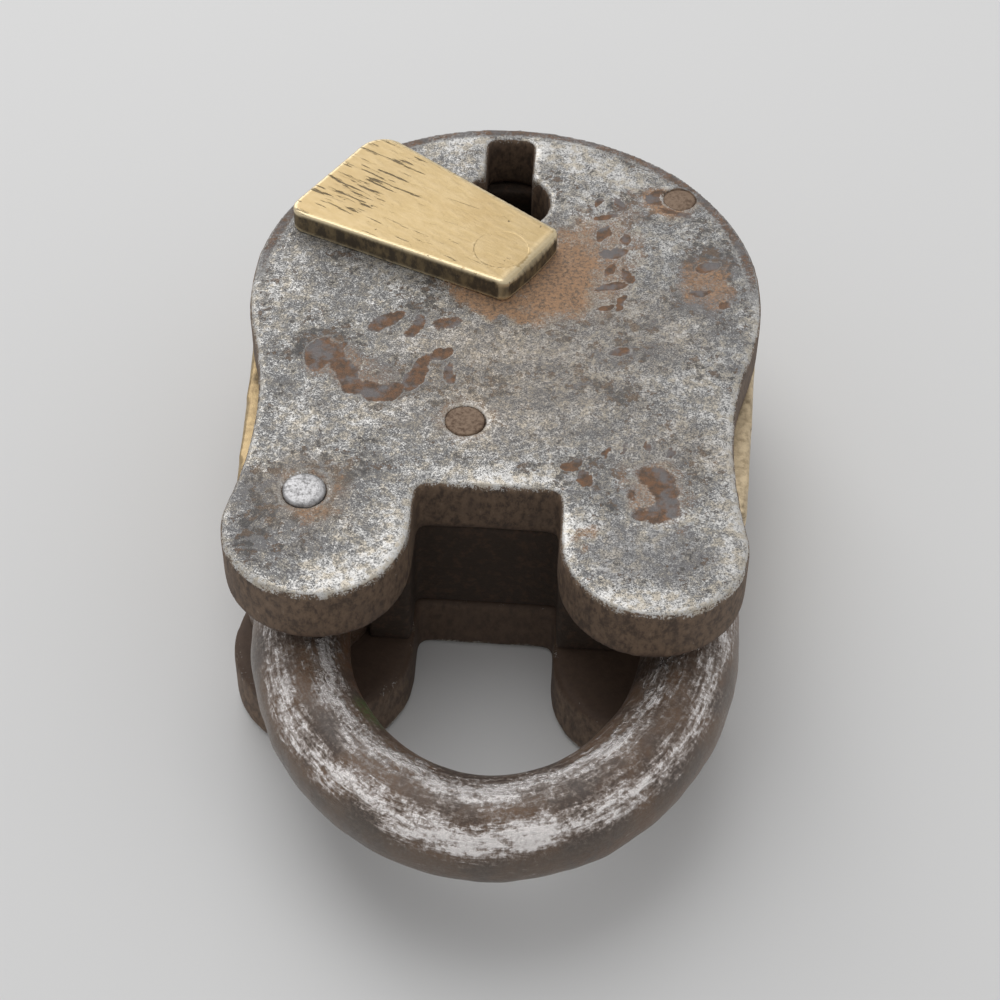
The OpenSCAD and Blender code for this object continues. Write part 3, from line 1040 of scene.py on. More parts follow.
@dataclass
class Plates:
    """The two thick steel plates, with rounded edges and a worn, patched face."""

    finish: bpy.types.Material
    grain: float = 0.5
    rounds: int = 16
    rust_depth: float = 0.22
    face_gap: float = 0.03

    rust: list[Patch] = field(default_factory=lambda: [
        # Below the cover, left of the middle.
        Patch(-25.6, -15.4, 3.6, 2.5, 55), Patch(-21.6, -19.6, 4.6, 1.6, -66),
        Patch(-16.6, -22.4, 3.4, 2.2, 10), Patch(-11.6, -18.6, 4.0, 1.2, 76),
        Patch(-8.6, -14.8, 2.2, 1.0, 15), Patch(-7.0, -18.4, 1.0, 2.0, 0, 0.7),
        Patch(-17.0, -8.2, 3.0, 1.5, 40, 0.8), Patch(-12.6, -9.0, 2.4, 1.2, 70, 0.75),
        Patch(-8.4, -8.2, 2.2, 1.3, 20, 0.65),
        # A column of worn marks right of the keyhole.
        Patch(13.4, 20.8, 1.3, 0.7, 75), Patch(16.4, 20.4, 1.4, 0.6, 85),
        Patch(14.8, 17.2, 2.0, 0.6, 15), Patch(14.0, 13.4, 1.6, 0.7, 70),
        Patch(17.6, 12.6, 1.8, 0.8, 80), Patch(15.6, 9.4, 2.2, 0.8, 12),
        Patch(15.2, 6.0, 1.4, 0.8, 60), Patch(17.8, 4.6, 1.9, 0.8, -70),
        Patch(15.4, 1.8, 2.2, 0.8, 25), Patch(17.0, -1.6, 2.1, 0.7, 80),
        Patch(14.6, -3.2, 1.4, 0.7, 20),
        # The right lobe's hollow and the marks above it.
        Patch(22.4, -39.8, 3.5, 5.2, 8),
        Patch(11.2, -34.8, 1.6, 1.0, 40), Patch(12.9, -37.6, 1.7, 1.0, -50),
        Patch(15.6, -32.2, 1.2, 0.5, 60, 0.7), Patch(18.6, -31.0, 1.2, 0.5, 75, 0.7),
        Patch(21.8, -30.6, 1.2, 0.5, 95, 0.7), Patch(25.0, -31.4, 1.2, 0.5, 110, 0.7),
        # Pits by the right rim, and rust round the rivets and the cover.
        Patch(30.0, 7.6, 2.2, 1.3, 30, 0.8), Patch(28.6, 1.6, 1.5, 1.0, 0, 0.75),
        Patch(32.6, -1.4, 1.4, 1.0, 40, 0.75), Patch(17.2, -12.0, 1.6, 0.7, 10, 0.7),
        Patch(22.4, 22.6, 2.2, 1.5, 10, 0.8), Patch(25.0, 19.6, 2.6, 0.9, -20, 0.7),
        Patch(-25.05, -42.35, 3.6, 3.6, 0, 0.55), Patch(-4.2, -27.4, 3.4, 3.4, 0, 0.5),
        Patch(7.6, 5.4, 2.4, 5.0, -10, 0.34),
    ])
    middles: list[Patch] = field(default_factory=lambda: [
        Patch(21.0, -39.8, 1.9, 3.0, 10), Patch(-16.4, -20.6, 2.0, 1.2, 0, 0.8),
        Patch(-24.0, -13.4, 1.4, 0.8, 40, 0.6),
    ])
    dark: list[Patch] = field(default_factory=lambda: [
        Patch(-25.5, -15.0, 4.6, 3.8, 60), Patch(-17.0, -20.5, 8.5, 3.8, -14, 0.8),
        Patch(-10.0, -18.6, 4.2, 5.0, 0, 0.7), Patch(-29.5, -47.5, 10.5, 7.5, -50, 0.85),
        Patch(-25.0, -41.5, 7.5, 6.5, 0, 0.75), Patch(22.6, -50.0, 10.0, 6.0, 4, 0.8),
        Patch(22.2, -40.0, 6.0, 6.4, 0, 0.6), Patch(31.0, 7.0, 5.4, 4.0, 40, 0.85),
        Patch(29.5, 0.5, 4.8, 3.6, -20, 0.8), Patch(17.0, -12.0, 4.6, 2.4, 0, 0.8),
        Patch(13.5, -19.5, 2.4, 1.6, 0, 0.7), Patch(22.0, -5.0, 3.0, 2.0, 50, 0.6),
        Patch(22.0, 22.0, 5.0, 4.0, 0, 0.7), Patch(-18.0, 33.0, 12.0, 3.2, 32, 0.45),
        Patch(4.0, -3.0, 11.0, 5.0, -25, 0.5), Patch(34.0, -12.0, 3.0, 9.0, 10, 0.5),
        Patch(-14.0, -8.5, 5.0, 2.2, 0, 0.4), Patch(12.0, -36.4, 3.6, 4.0, -40, 0.6),
        Patch(16.0, 8.0, 4.2, 14.0, -6, 0.35),
    ])
    # Pale patches: rubbed metal, and painted highlights on the lobes' lower rims, over the notch
    # and round the keyhole.
    bright: list[Patch] = field(default_factory=lambda: [
        Patch(-17.5, -56.0, 9.0, 3.4, 28), Patch(-11.6, -49.0, 2.4, 7.0, 8),
        Patch(21.0, -58.6, 10.5, 2.2, 2), Patch(11.8, -50.5, 1.8, 6.5, -6, 0.8),
        Patch(33.6, -48.0, 1.6, 7.0, 0, 0.8), Patch(-34.0, -47.5, 1.6, 5.5, 0, 0.7),
        Patch(0.0, -37.6, 11.0, 1.4, 0), Patch(-9.5, 33.5, 5.6, 3.0, 22, 0.9),
        Patch(8.6, 32.5, 6.0, 3.8, -18, 0.9), Patch(16.0, 27.5, 6.0, 2.6, -35, 0.7),
        Patch(-33.0, -1.0, 3.0, 12.0, 4, 0.3), Patch(-22.0, -29.0, 8.0, 4.5, 45, 0.45),
        Patch(-3.0, -13.0, 9.0, 3.0, 10, 0.35), Patch(28.5, -24.0, 4.5, 8.0, 10, 0.4),
        Patch(-21.0, -50.0, 12.0, 7.5, 0, 0.42), Patch(22.8, -50.0, 12.0, 7.5, 0, 0.62),
    ])
    stain: list[Patch] = field(default_factory=lambda: [
        Patch(7.0, 3.5, 6.5, 8.5, 0, 1.0), Patch(-1.0, -3.6, 9.0, 2.6, -28, 0.8),
        Patch(11.0, 13.0, 2.6, 6.0, 0, 0.5), Patch(-24.4, -42.9, 4.3, 4.3, 0, 0.62),
        Patch(23.4, 21.6, 4.4, 3.2, 0, 0.7), Patch(30.0, 3.5, 3.6, 5.0, 20, 0.5),
        Patch(-4.2, -27.4, 4.0, 4.0, 0, 0.45), Patch(22.4, -39.8, 4.4, 6.0, 8, 0.45),
        Patch(-21.0, -18.5, 8.0, 4.0, -30, 0.35), Patch(16.0, 8.0, 3.4, 14.0, -6, 0.4),
        Patch(14.0, -47.5, 2.0, 1.4, 0, 0.6),
    ])
    tan: list[Patch] = field(default_factory=lambda: [
        Patch(2.0, -17.0, 17.0, 13.0, 0, 0.75), Patch(6.5, 2.0, 10.0, 12.0, 0, 0.9),
        Patch(18.0, -8.0, 10.0, 9.0, 0, 0.55), Patch(24.0, -31.0, 9.0, 6.0, 0, 0.5),
        Patch(-25.0, -42.4, 6.5, 6.5, 0, 0.8), Patch(-12.0, -22.0, 10.0, 6.0, 0, 0.4),
    ])

    def face_marks(self, blank: Blank, face: np.ndarray, side: Outward) -> np.ndarray:
        """Stores the face's patches, which the back plate carries mirrored.

        Args:
            blank: The plate.
            face: 1 on the outer face and 0 elsewhere.
            side: The way that the outer face looks.

        Returns:
            The rust's strength at each point.
        """
        flat = blank.points * np.array([side.value, 1, 0])
        x, y, _ = blank.points.T
        rim = ease(np.hypot(x, y), 35.0, 36.6) * ease(y, -8.0, 8.0)
        rust = np.clip(cover_all(self.rust, flat, 0.6, 0.6, 11)
                       - 0.8 * cover_all(self.middles, flat, 0.6, 0.9, 15), 0.5 * rim, 1) * face
        blank.mark("rust", rust)
        blank.mark("dark", np.maximum(cover_all(self.dark, flat, 1.8, 0.9, 21), rim))
        # bright: rubbed metal with painted highlights.
        blank.mark("bright", cover_all(self.bright, flat, 1.2, 1.0, 31))
        blank.mark("tan", cover_all(self.tan, flat, 2.0, 1.2, 41))
        blank.mark("stain", cover_all(self.stain, flat, 1.6, 1.1, 51))
        return rust

    def wall_marks(self, blank: Blank, up: np.ndarray, height: np.ndarray, side: Outward) -> None:
        """Stores the worn edges and the dark inner faces.

        Args:
            blank: The plate.
            up: How far each normal looks outward.
            height: Height of each point over the outer face.
            side: The way that the outer face looks.
        """
        x, y, _ = blank.points.T
        far = ease(y, -4.0, 14.0) * ease(np.hypot(x, y), 34.8, 35.8)
        open_air = 0.38 + 0.62 * ease(height, -6, -3)
        blank.mark("edge", ease(blank.edge_wear(2), 0.08, 0.34) * open_air * (1 - 0.8 * far))
        inner = ease(up, 0.2, -0.6)
        if side is Outward.DOWN:
            # Inside the notch the back plate's walls also take the dark inner colour: rust, and
            # painted shade in the recess.
            notch = ease(np.abs(x), 11.5, 10.0) * ease(y, -58.0, -50.0) * ease(y, -34.0, -36.0)
            inner = np.maximum(inner, 0.72 * notch)
        blank.mark("inner", inner)

    def make(self, node: str, side: Outward) -> bpy.types.Object:
        """Builds one plate.

        Args:
            node: The plate's node.
            side: The way that its outer face looks.

        Returns:
            The finished plate.
        """
        outward = side.value
        low, high = box_mm(node)
        level = max(high[2] * outward, low[2] * outward)
        blank = wear_down(blank_from(node, node + "_worn"), self.grain, self.rounds)
        blank.raise_by(0.10 * lumps(blank.points, 9.0, 3) + 0.035 * lumps(blank.points, 2.6, 4))
        # The cover slides over the face, so nothing stands above it.
        rubbed = np.minimum(blank.points[:, 2] * outward, level - self.face_gap)
        blank.points[:, 2] = rubbed * outward
        blank.write()
        face = ease(blank.normals[:, 2] * outward, 0.55, 0.92)
        face = face * (np.abs(blank.points[:, 2] * outward - level) < 2.5)
        rust = self.face_marks(blank, face, side)
        blank.raise_by(-self.rust_depth * blank.spread(rust, 2) * face)
        self.wall_marks(blank, blank.normals[:, 2] * outward,
                        blank.points[:, 2] * outward - level, side)
        blank.mark("face", face)
        return blank.hand_in(self.finish, "case", node, "steel_plate")


@dataclass
class Case:
    """The cast brass case between the plates."""

    finish: bpy.types.Material
    grain: float = 0.6
    rounds: int = 4
    nose_x: float = 11.95
    nose_y: float = -43.1
    deeper: float = 0.3

    def clear_nose(self, blank: Blank) -> None:
        """Sinks the channel's worn corner, so that the bolt's nose stays clear of it.

        Args:
            blank: The case.
        """
        apart = blank.points[:, :2] - np.array([self.nose_x, self.nose_y])
        blank.points[:, :2] -= self.deeper * ease(np.hypot(*apart.T), 2.2, 1.0)[:, None]
        blank.write()

    def make(self) -> bpy.types.Object:
        """Builds the case.

        Returns:
            The finished case.
        """
        blank = wear_down(blank_from("middle_case", "middle_case_worn"), self.grain, self.rounds)
        blank.raise_by(0.05 * lumps(blank.points, 6.0, 7))
        self.clear_nose(blank)
        x, y, _ = blank.points.T
        # The case between the plates and in the notch is darkened: encrusted soiling, and painted
        # shade in the recess.
        inner = ease(np.hypot(x, y), 36.4, 35.6) * ease(y, -40.0, -36.0)
        notch = ease(y, -33.0, -36.0) * ease(np.abs(x), 22.0, 18.0)
        blank.mark("grime_and_shade", np.maximum(notch, inner * 0.95))
        # Painted light: lighter towards the right side.
        blank.mark("painted_light_right", ease(x, -5.0, 25.0))
        return blank.hand_in(self.finish, "case", "middle_case", "case_brass")


@dataclass
class Rivets:
    """The rivets that hold the plates together, with hammered ends."""

    bright: bpy.types.Material
    rusty: bpy.types.Material
    dent: float = 0.12
    works: Works = field(init=False)

    def __post_init__(self) -> None:
        """Builds the rivet tree: a column whose ends swell and are lightly dented."""
        works = Works("rivet", {
            "Radius": ("Float", 0.003), "Length": ("Float", 0.035), "Dome": ("Float", 0.0002),
            "Dent": ("Float", 0.00006), "Place": ("Vector", PLAIN), "Seed": ("Float", 1.0),
            "Finish": ("Material", None)})
        radius, length = works.given("Radius"), works.given("Length")
        column = works.put("GeometryNodeMeshCylinder", {
            "Vertices": 64, "Side Segments": 24, "Fill Segments": 10, "Radius": radius,
            "Depth": length}, "Mesh", fill_type="TRIANGLE_FAN")
        parts = works.add("ShaderNodeSeparateXYZ", {0: works.put("GeometryNodeInputPosition")})
        x, y, z = (Wire(works, output) for output in parts.outputs)
        out = works.put("ShaderNodeVectorMath", {0: works.vector(x, y)}, "Value",
                        operation="LENGTH")
        swell = (0.0 - (out / radius) ** 4.0) * works.given("Dome")
        dent = (works.noise(900.0) - 0.6) * works.given("Dent")
        # Only the two ends swell.
        top = z / (length * 0.5)
        rise = (swell + dent) * abs(top) ** 30.0 * works.maths("SIGN", top)
        shaped = works.put("GeometryNodeSetPosition", {"Geometry": column,
                                                       "Offset": works.vector(0.0, 0.0, rise)})
        works.close(works.put("GeometryNodeSetShadeSmooth", {"Geometry": shaped}), "Place")
        self.works = works

    def make(self, node: str, finish: bpy.types.Material, slot: str, seed: float,
             dome: float) -> bpy.types.Object:
        """Builds one rivet.

        Args:
            node: The rivet's node.
            finish: Its material.
            slot: Not used.
            seed: Number that picks its dents.
            dome: How far its ends swell, in millimetres.

        Returns:
            The finished rivet.
        """
        low, high = box_mm(node)
        size = high - low
        thing = self.works.run(
            node + "_hammered", Radius=float(size[0] / 2 * MM), Length=float(size[2] * MM),
            Dome=dome * MM, Dent=self.dent * MM, Seed=seed, Finish=finish,
            Place=tuple(float(v) for v in (low + high) / 2 * MM))
        return enter(thing, "case", node)

    def make_all(self) -> None:
        """Builds the four rivets of the case."""
        self.make("shackle_rivet", self.bright, "bright_rivet", 3.0, 0.30)
        self.make("centre_rivet", self.rusty, "rusty_rivet", 11.0, 0.12)
        self.make("right_rim_rivet", self.rusty, "rusty_rivet", 17.0, 0.15)
        self.make("left_rim_rivet", self.rusty, "rusty_rivet", 23.0, 0.15)


@dataclass
class Shackle:
    """The forged shackle: a lumpy round bar bent into a bow, with a boss at its heel."""

    finish: bpy.types.Material
    grain: float = 0.55
    rounds: int = 6
    bar: float = 6.75
    span: float = 27.0
    bow_y: float = -50.25
    leg: float = 4.0
    swell: float = 0.55
    seed: float = 4.0
    throw: float = 6.0
    nose_y: float = -40.35
    nose_half: float = 2.75
    nose_reach: float = 4.0
    side_gap: float = 0.45
    end_gap: float = 0.12
    works: Works = field(init=False)

    def __post_init__(self) -> None:
        """Builds the bar's tree: a lumpy round bar along two legs and a half ellipse."""
        works = Works("bow", {
            "Radius": ("Float", 0.007), "Span": ("Float", 0.027), "Drop": ("Float", 0.033),
            "Leg": ("Float", 0.004), "Swell": ("Float", 0.0005), "Middle": ("Vector", PLAIN),
            "Seed": ("Float", 1.0), "Finish": ("Material", None)})
        points = works.put("GeometryNodeResampleCurve", {
            "Curve": works.put("GeometryNodeCurvePrimitiveLine"), "Count": 180})
        share = works.put("GeometryNodeSplineParameter", output="Factor")
        # The share runs over both legs and the half turn between them.
        part = 0.3
        turn = share * (math.pi + 2 * part) - part
        bend = works.maths("MINIMUM", works.maths("MAXIMUM", turn, 0.0), math.pi)
        rise = abs(turn - bend) / part * works.given("Leg")
        path = works.vector(works.maths("COSINE", bend) * (works.given("Span") * -1.0),
                            rise - works.maths("SINE", bend) * works.given("Drop"))
        laid = works.put("GeometryNodeSetPosition", {"Geometry": points, "Position": path})
        kept = works.put("GeometryNodeStoreNamedAttribute", {
            "Geometry": laid, "Name": "ends",
            "Value": works.maths("MINIMUM", share, 1.0 - share)},
            data_type="FLOAT", domain="POINT")
        ring = works.put("GeometryNodeCurvePrimitiveCircle", {"Resolution": 56,
                                                              "Radius": works.given("Radius")})
        solid = works.put("GeometryNodeCurveToMesh", {"Curve": kept, "Profile Curve": ring,
                                                      "Fill Caps": True})
        # The lumps fade towards both ends.
        ends = works.put("GeometryNodeInputNamedAttribute", {"Name": "ends"}, data_type="FLOAT")
        fade = works.maths("MINIMUM", ends * 12.0, 1.0)
        height = (works.noise(110.0) - 0.42) * (works.given("Swell") * fade)
        push = works.put("ShaderNodeVectorMath", {0: works.put("GeometryNodeInputNormal"),
                                                  "Scale": height}, operation="SCALE")
        works.close(works.put("GeometryNodeSetPosition", {"Geometry": solid, "Offset": push}),
                    "Middle")
        self.works = works

    def blank(self, middle: np.ndarray, drop: float) -> Blank:
        """Joins the lumpy bar to the heel's boss and the notched toe.

        Args:
            middle: Middle of the bow's half ellipse, in millimetres.
            drop: Depth of the half ellipse in millimetres.

        Returns:
            The worn blank.
        """
        bar = self.works.run("shackle_bow", Radius=self.bar * MM, Span=self.span * MM,
                             Drop=float(drop * MM), Leg=self.leg * MM, Swell=self.swell * MM,
                             Middle=tuple(float(v) for v in middle * MM), Seed=self.seed,
                             Finish=self.finish)
        solid = blank_from("shackle", "shackle_forged")
        shape = bmesh.new()
        shape.from_mesh(solid.data)
        shape.from_mesh(bar.data)
        shape.to_mesh(solid.data)
        shape.free()
        bpy.data.objects.remove(bar)
        return wear_down(solid, self.grain, self.rounds)

    def clear_toe(self, blank: Blank) -> None:
        """Keeps the toe's notch clear of the bolt's nose when the bolt is thrown.

        Args:
            blank: The shackle.
        """
        _, high = box_mm("bolt")
        floor = high[0] + self.throw + self.end_gap
        x, y, _ = blank.points.T
        inside = (np.abs(y - self.nose_y) < self.nose_half + self.side_gap) & (x < floor)
        inside &= x > high[0] - self.nose_reach
        blank.points[:, 0] = np.where(inside, floor, x)
        blank.write()

    def marks(self, blank: Blank, middle: np.ndarray, drop: float) -> None:
        """Stores the bar's own coordinates, where it is rubbed, rusty or green, and a painted
        highlight along its ridges.

        Args:
            blank: The shackle.
            middle: Middle of the bow's half ellipse, in millimetres.
            drop: Depth of the half ellipse in millimetres.
        """
        x, y, _ = blank.points.T
        right, up, lift = (blank.points - middle).T
        angle = np.arctan2(up / drop, right / self.span)
        below = up < 0
        out = np.where(below, np.hypot(right, up) - np.hypot(
            self.span * np.cos(angle), drop * np.sin(angle)), np.abs(right) - self.span)
        around = np.arctan2(lift, out)
        turned = angle * (self.span + drop) / 2
        along = np.where(below, turned, up + np.where(right > 0, 0, turned.min()))
        blank.mark("along", along, clip=False)
        blank.mark("around", around * self.bar, clip=False)
        wander = 0.22 * lumps(blank.points, 12.0, 71) + 0.12 * lumps(blank.points, 4.0, 72)
        # The ridges are rubbed bright and carry a painted highlight, strongest at the bottom middle
        # and on the left leg's inner edge.
        painted_highlight_middle, left = ridge_at(x, 4.0, 17.0), ease(x, 4.0, -18.0)
        inner = ridge_at(around + wander, 1.95, 0.34) * (0.56 + 0.34 * np.maximum(painted_highlight_middle, left))
        outer = ridge_at(around + wander, 0.86, 0.34 + 0.10 * painted_highlight_middle)
        outer *= 0.58 + 0.42 * painted_highlight_middle + 0.04 * left
        blank.mark("ridge", np.maximum(inner, outer) * ease(y, -45.0, -52.0))
        blank.mark("under", ease(around + wander, 0.62, 0.2) * ease(around, -1.4, -0.9))
        inside = ease(around, 2.2, 2.9) * ease(x, 0.0, -8.0)
        outside = ease(around, 0.45, -0.1) * ease(x, 6.0, 22.0) * ease(around, -1.6, -1.1)
        legs = ease(y, -56.0, -44.0)
        blank.mark("rust", np.maximum.reduce([inside, 0.8 * outside, 0.6 * legs]))
        spot = Patch(-13.0, -69.0, 3.0, 2.0, -45)
        blank.mark("green", spot.cover(blank.points, 0.8) * ease(around, 1.4, 2.0))

    def make(self) -> bpy.types.Object:
        """Builds the shackle.

        Returns:
            The finished shackle.
        """
        low, high = box_mm("shackle")
        middle = np.array((high[0] - self.bar - self.span, self.bow_y,
                           joint_point("shackle_swing")[2]))
        drop = self.bow_y - low[1] - self.bar
        blank = self.blank(middle, drop)
        blank.raise_by(0.06 * lumps(blank.points, 10.0, 51) + 0.12 * lumps(blank.points, 4.5, 52)
                       + 0.05 * lumps(blank.points, 1.8, 53))
        self.clear_toe(blank)
        self.marks(blank, middle, drop)
        return blank.hand_in(self.finish, "shackle", "shackle", "dark_steel")


@dataclass
class Cover:
    """The swinging keyhole cover and the flush rivet that it turns on."""

    finish: bpy.types.Material
    grain: float = 0.27
    rounds: int = 5
    lean: float = 148.4
    tip_reach: float = 31.5
    narrow_low: float = 6.1
    narrow_high: float = 8.7
    tail_reach: float = 5.2
    tip_half: float = 11.4
    tip_corner: float = 4.6
    cad_corner: float = 2.2
    tail_corner: float = 1.3
    tail_bow: float = 0.75
    tail_round: float = 1.45
    head_depth: float = 1.5
    head_zone: float = 4.3
    running_gap: float = 0.008
    level: float = 0.0
    pivot: np.ndarray = field(default_factory=lambda: joint_point("cover_swing"))

    def local(self, points: np.ndarray) -> tuple[np.ndarray, np.ndarray]:
        """Measures points from the pivot.

        Args:
            points: Points in millimetres.

        Returns:
            Their distances along the cover and across it.
        """
        angle = math.radians(self.lean)
        dx, dy = points[:, 0] - self.pivot[0], points[:, 1] - self.pivot[1]
        return (dx * math.cos(angle) + dy * math.sin(angle),
                dy * math.cos(angle) - dx * math.sin(angle))

    def place(self, blank: Blank, reach: np.ndarray, side: np.ndarray) -> None:
        """Puts points given in the cover's own frame back into the mesh.

        Args:
            blank: The cover.
            reach: Distances from the pivot, along the cover.
            side: Distances across the cover.
        """
        angle = math.radians(self.lean)
        blank.points[:, 0] = self.pivot[0] + reach * math.cos(angle) - side * math.sin(angle)
        blank.points[:, 1] = self.pivot[1] + reach * math.sin(angle) + side * math.cos(angle)
        blank.write()

    def plug(self, solid: bpy.types.Object, low: float, high: float) -> None:
        """Fills the rivet's hole, so that it can be cut sharp after the edges are worn.

        Args:
            solid: The cover's plain solid.
            low: Height of the cover's underside.
            high: Height of its top.
        """
        shape = bmesh.new()
        shape.from_mesh(solid.data)
        cone(shape, self.pivot, (5, 5), (low, high), 64)
        shape.to_mesh(solid.data)
        shape.free()

    def bore(self, thing: bpy.types.Object, low: float, high: float) -> None:
        """Cuts the rivet's hole: a shank's bore that opens to a cone.

        Args:
            thing: The worn cover.
            low: Height of the cover's underside.
            high: Height of its top.
        """
        rivet_low, rivet_high = box_mm("cover_rivet")
        head = (rivet_high[0] - rivet_low[0]) / 2 + self.running_gap
        shank = head - self.head_depth
        seat = high - self.head_depth
        cutter = bmesh.new()
        cone(cutter, self.pivot, (shank, shank), (low - 1, seat + 0.01), 96)
        cone(cutter, self.pivot, (shank, head), (seat, high + 0.002), 96)
        cone(cutter, self.pivot, (head, head), (high, high + 1), 96)
        mesh = bpy.data.meshes.new("cover_bore")
        cutter.to_mesh(mesh)
        cutter.free()
        tool = new_object("cover_bore", mesh)
        cut = thing.modifiers.new("bore", "BOOLEAN")
        cut.operation = "DIFFERENCE"
        cut.solver = "EXACT"
        cut.use_self = True
        cut.object = tool
        settle(thing)
        bpy.data.objects.remove(tool)

    def corner(self, past: np.ndarray, out: np.ndarray, size: float,
               radius: float) -> tuple[np.ndarray, np.ndarray]:
        """Gives one corner another radius.

        Args:
            past: Distance of each point past the corner's inner point, along the cover.
            out: The same across the cover.
            size: Distance of the inner point from both sides.
            radius: The corner's new radius.

        Returns:
            The new distances.
        """
        far = np.hypot(past, out) + 1e-9
        c, s = past / far, out / far

        def outline(bend: float) -> np.ndarray:
            """Measures out to the corner's outline.

            Args:
                bend: The corner's radius.

            Returns:
                The distance at each point's angle.
            """
            inset = size - bend
            under = bend ** 2 - 2 * inset ** 2 + (inset * (c + s)) ** 2
            arc = inset * (c + s) + np.sqrt(np.maximum(under, 0))
            on_arc = (under > 0) & (arc * np.minimum(c, s) >= inset - 1e-6)
            return np.where(on_arc, arc, size / np.maximum(np.maximum(c, s), 1e-3))

        old = outline(self.cad_corner)
        pull = 1 + (outline(radius) / old - 1) * ease(far / old, 0.3, 1.0)
        pull = np.where((past > 0) & (out > 0), pull, 1)
        return past * pull, out * pull

    def shape(self, blank: Blank, low: float, high: float) -> None:
        """Rounds the tip's far corner, sharpens the narrow end's and rubs that end round.

        Args:
            blank: The cover.
            low: Height of its underside.
            high: Height of its top.
        """
        reach, side = self.local(blank.points)
        size = self.tip_corner
        past, out = self.corner(reach - (self.tip_reach - size), -side - (self.tip_half - size),
                                size, size)
        reach, side = past + self.tip_reach - size, -(out + self.tip_half - size)
        size = self.cad_corner
        for turn, half in ((1, self.narrow_low), (-1, self.narrow_high)):
            past, out = self.corner(-reach - (self.tail_reach - size),
                                    turn * side - (half - size), size, self.tail_corner)
            reach, side = -(past + self.tail_reach - size), turn * (out + half - size)
        middle = (self.narrow_low - self.narrow_high) / 2
        bow = self.tail_bow * ((side - middle) / (self.narrow_high - middle)) ** 2
        reach = reach + bow * ease(reach, -2.0, -self.tail_reach)
        past = np.clip(-reach - (self.tail_reach - self.tail_round), 0, self.tail_round * 0.97)
        drop = self.tail_round - np.sqrt(self.tail_round ** 2 - past ** 2)
        blank.points[:, 2] -= drop * np.clip((blank.points[:, 2] - low) / (high - low), 0, 1)
        self.place(blank, reach, side)

    def scars(self, blank: Blank, reach: np.ndarray, side: np.ndarray) -> np.ndarray:
        """Gives how thickly the gouges lie: most at the wide end and along the lower edge.

        Args:
            blank: The cover.
            reach: Distance of each point from the pivot, along the cover.
            side: The same across the cover.

        Returns:
            Their density at each point, from 0 to 1.
        """
        wide_end = ease(reach, 11.0, 25.0) * ease(side, 11.0, 5.0)
        low_edge = 0.62 * ease(side, 1.0, 5.0) * ease(reach, -1.0, 5.0)
        patchy = 0.72 + 0.28 * lumps(blank.points, 4.0, 61)
        return np.maximum(wide_end, low_edge) * patchy * ease(reach, -3.0, 2.0)

    def make(self) -> bpy.types.Object:
        """Builds the cover.

        Returns:
            The finished cover.
        """
        low, high = box_mm("keyhole_cover")
        solid = blank_from("keyhole_cover", "keyhole_cover_worn")
        self.plug(solid, low[2], high[2])
        blank = wear_down(solid, self.grain, self.rounds)
        self.shape(blank, low[2], high[2])
        self.bore(blank.thing, low[2], high[2])
        blank.read()
        blank.thing.data.set_sharp_from_angle(angle=math.radians(50))
        reach, side = self.local(blank.points)
        far, tall, up = np.hypot(reach, side), blank.points[:, 2], blank.normals[:, 2]
        on_top, near = tall > high[2] - 0.25, far < self.head_zone
        top = np.where(near, on_top, ease(up, 0.45, 0.9) * (tall > high[2] - 2.6))
        self.level = float(np.median(tall[on_top & (np.abs(far - self.head_zone - 0.5) < 0.4)]))
        blank.mark("gouge", self.scars(blank, reach, side) * top)
        blank.mark("face", top)
        # A painted highlight line where the narrow end starts to round over, stored in the edge
        # mark beside the worn rims.
        start = self.tail_round - self.tail_reach
        painted_highlight_line = ridge_at(up, 0.9, 0.09) * ease(reach, start + 0.8, start)
        painted_highlight_line = painted_highlight_line * (tall > high[2] - 1.5)
        rim = np.maximum(ease(blank.edge_wear(1), 0.22, 0.6), painted_highlight_line)
        blank.mark("edge", np.where(near, 0, rim))
        return blank.hand_in(self.finish, "cover", "keyhole_cover", "cover_brass")

    def make_rivet(self) -> bpy.types.Object:
        """Builds the rivet, rubbed flush with the cover.

        Returns:
            The finished rivet.
        """
        blank = Blank(blank_from("cover_rivet", "cover_rivet_flush"))
        _, high = box_mm("cover_rivet")
        top = blank.points[:, 2] > high[2] - 0.01
        blank.mark("face", top.astype(float))
        blank.mark("edge", top * 0.0)
        blank.mark("gouge", top * 0.0)
        blank.points[:, 2] = np.where(top, self.level, blank.points[:, 2])
        blank.write()
        blank.thing.data.set_sharp_from_angle(angle=math.radians(30))
        return blank.hand_in(self.finish, "case", "cover_rivet", "cover_brass")


@dataclass
class Inside:
    """The lock's works, which keep their shape from the frame and get a finish."""

    brass: bpy.types.Material
    steel: bpy.types.Material
    spring: bpy.types.Material
    pins: tuple[str, ...] = ("key_pin", "cover_washer", "bolt_guide_pin", "lever_post")

    def dress(self) -> None:
        """Gives each inner node its finish."""
        for name, thing in frame["nodes"].items():
            if name.startswith("lever_spring"):
                finish = self.spring
            elif name in self.pins:
                finish = self.steel
            elif name.startswith(("lever", "bolt")):
                finish = self.brass
            else:
                continue
            thing.data.materials.clear()
            thing.data.materials.append(finish)
            log.info("%s: %s", name, finish.name)


# ---------- the studio ----------


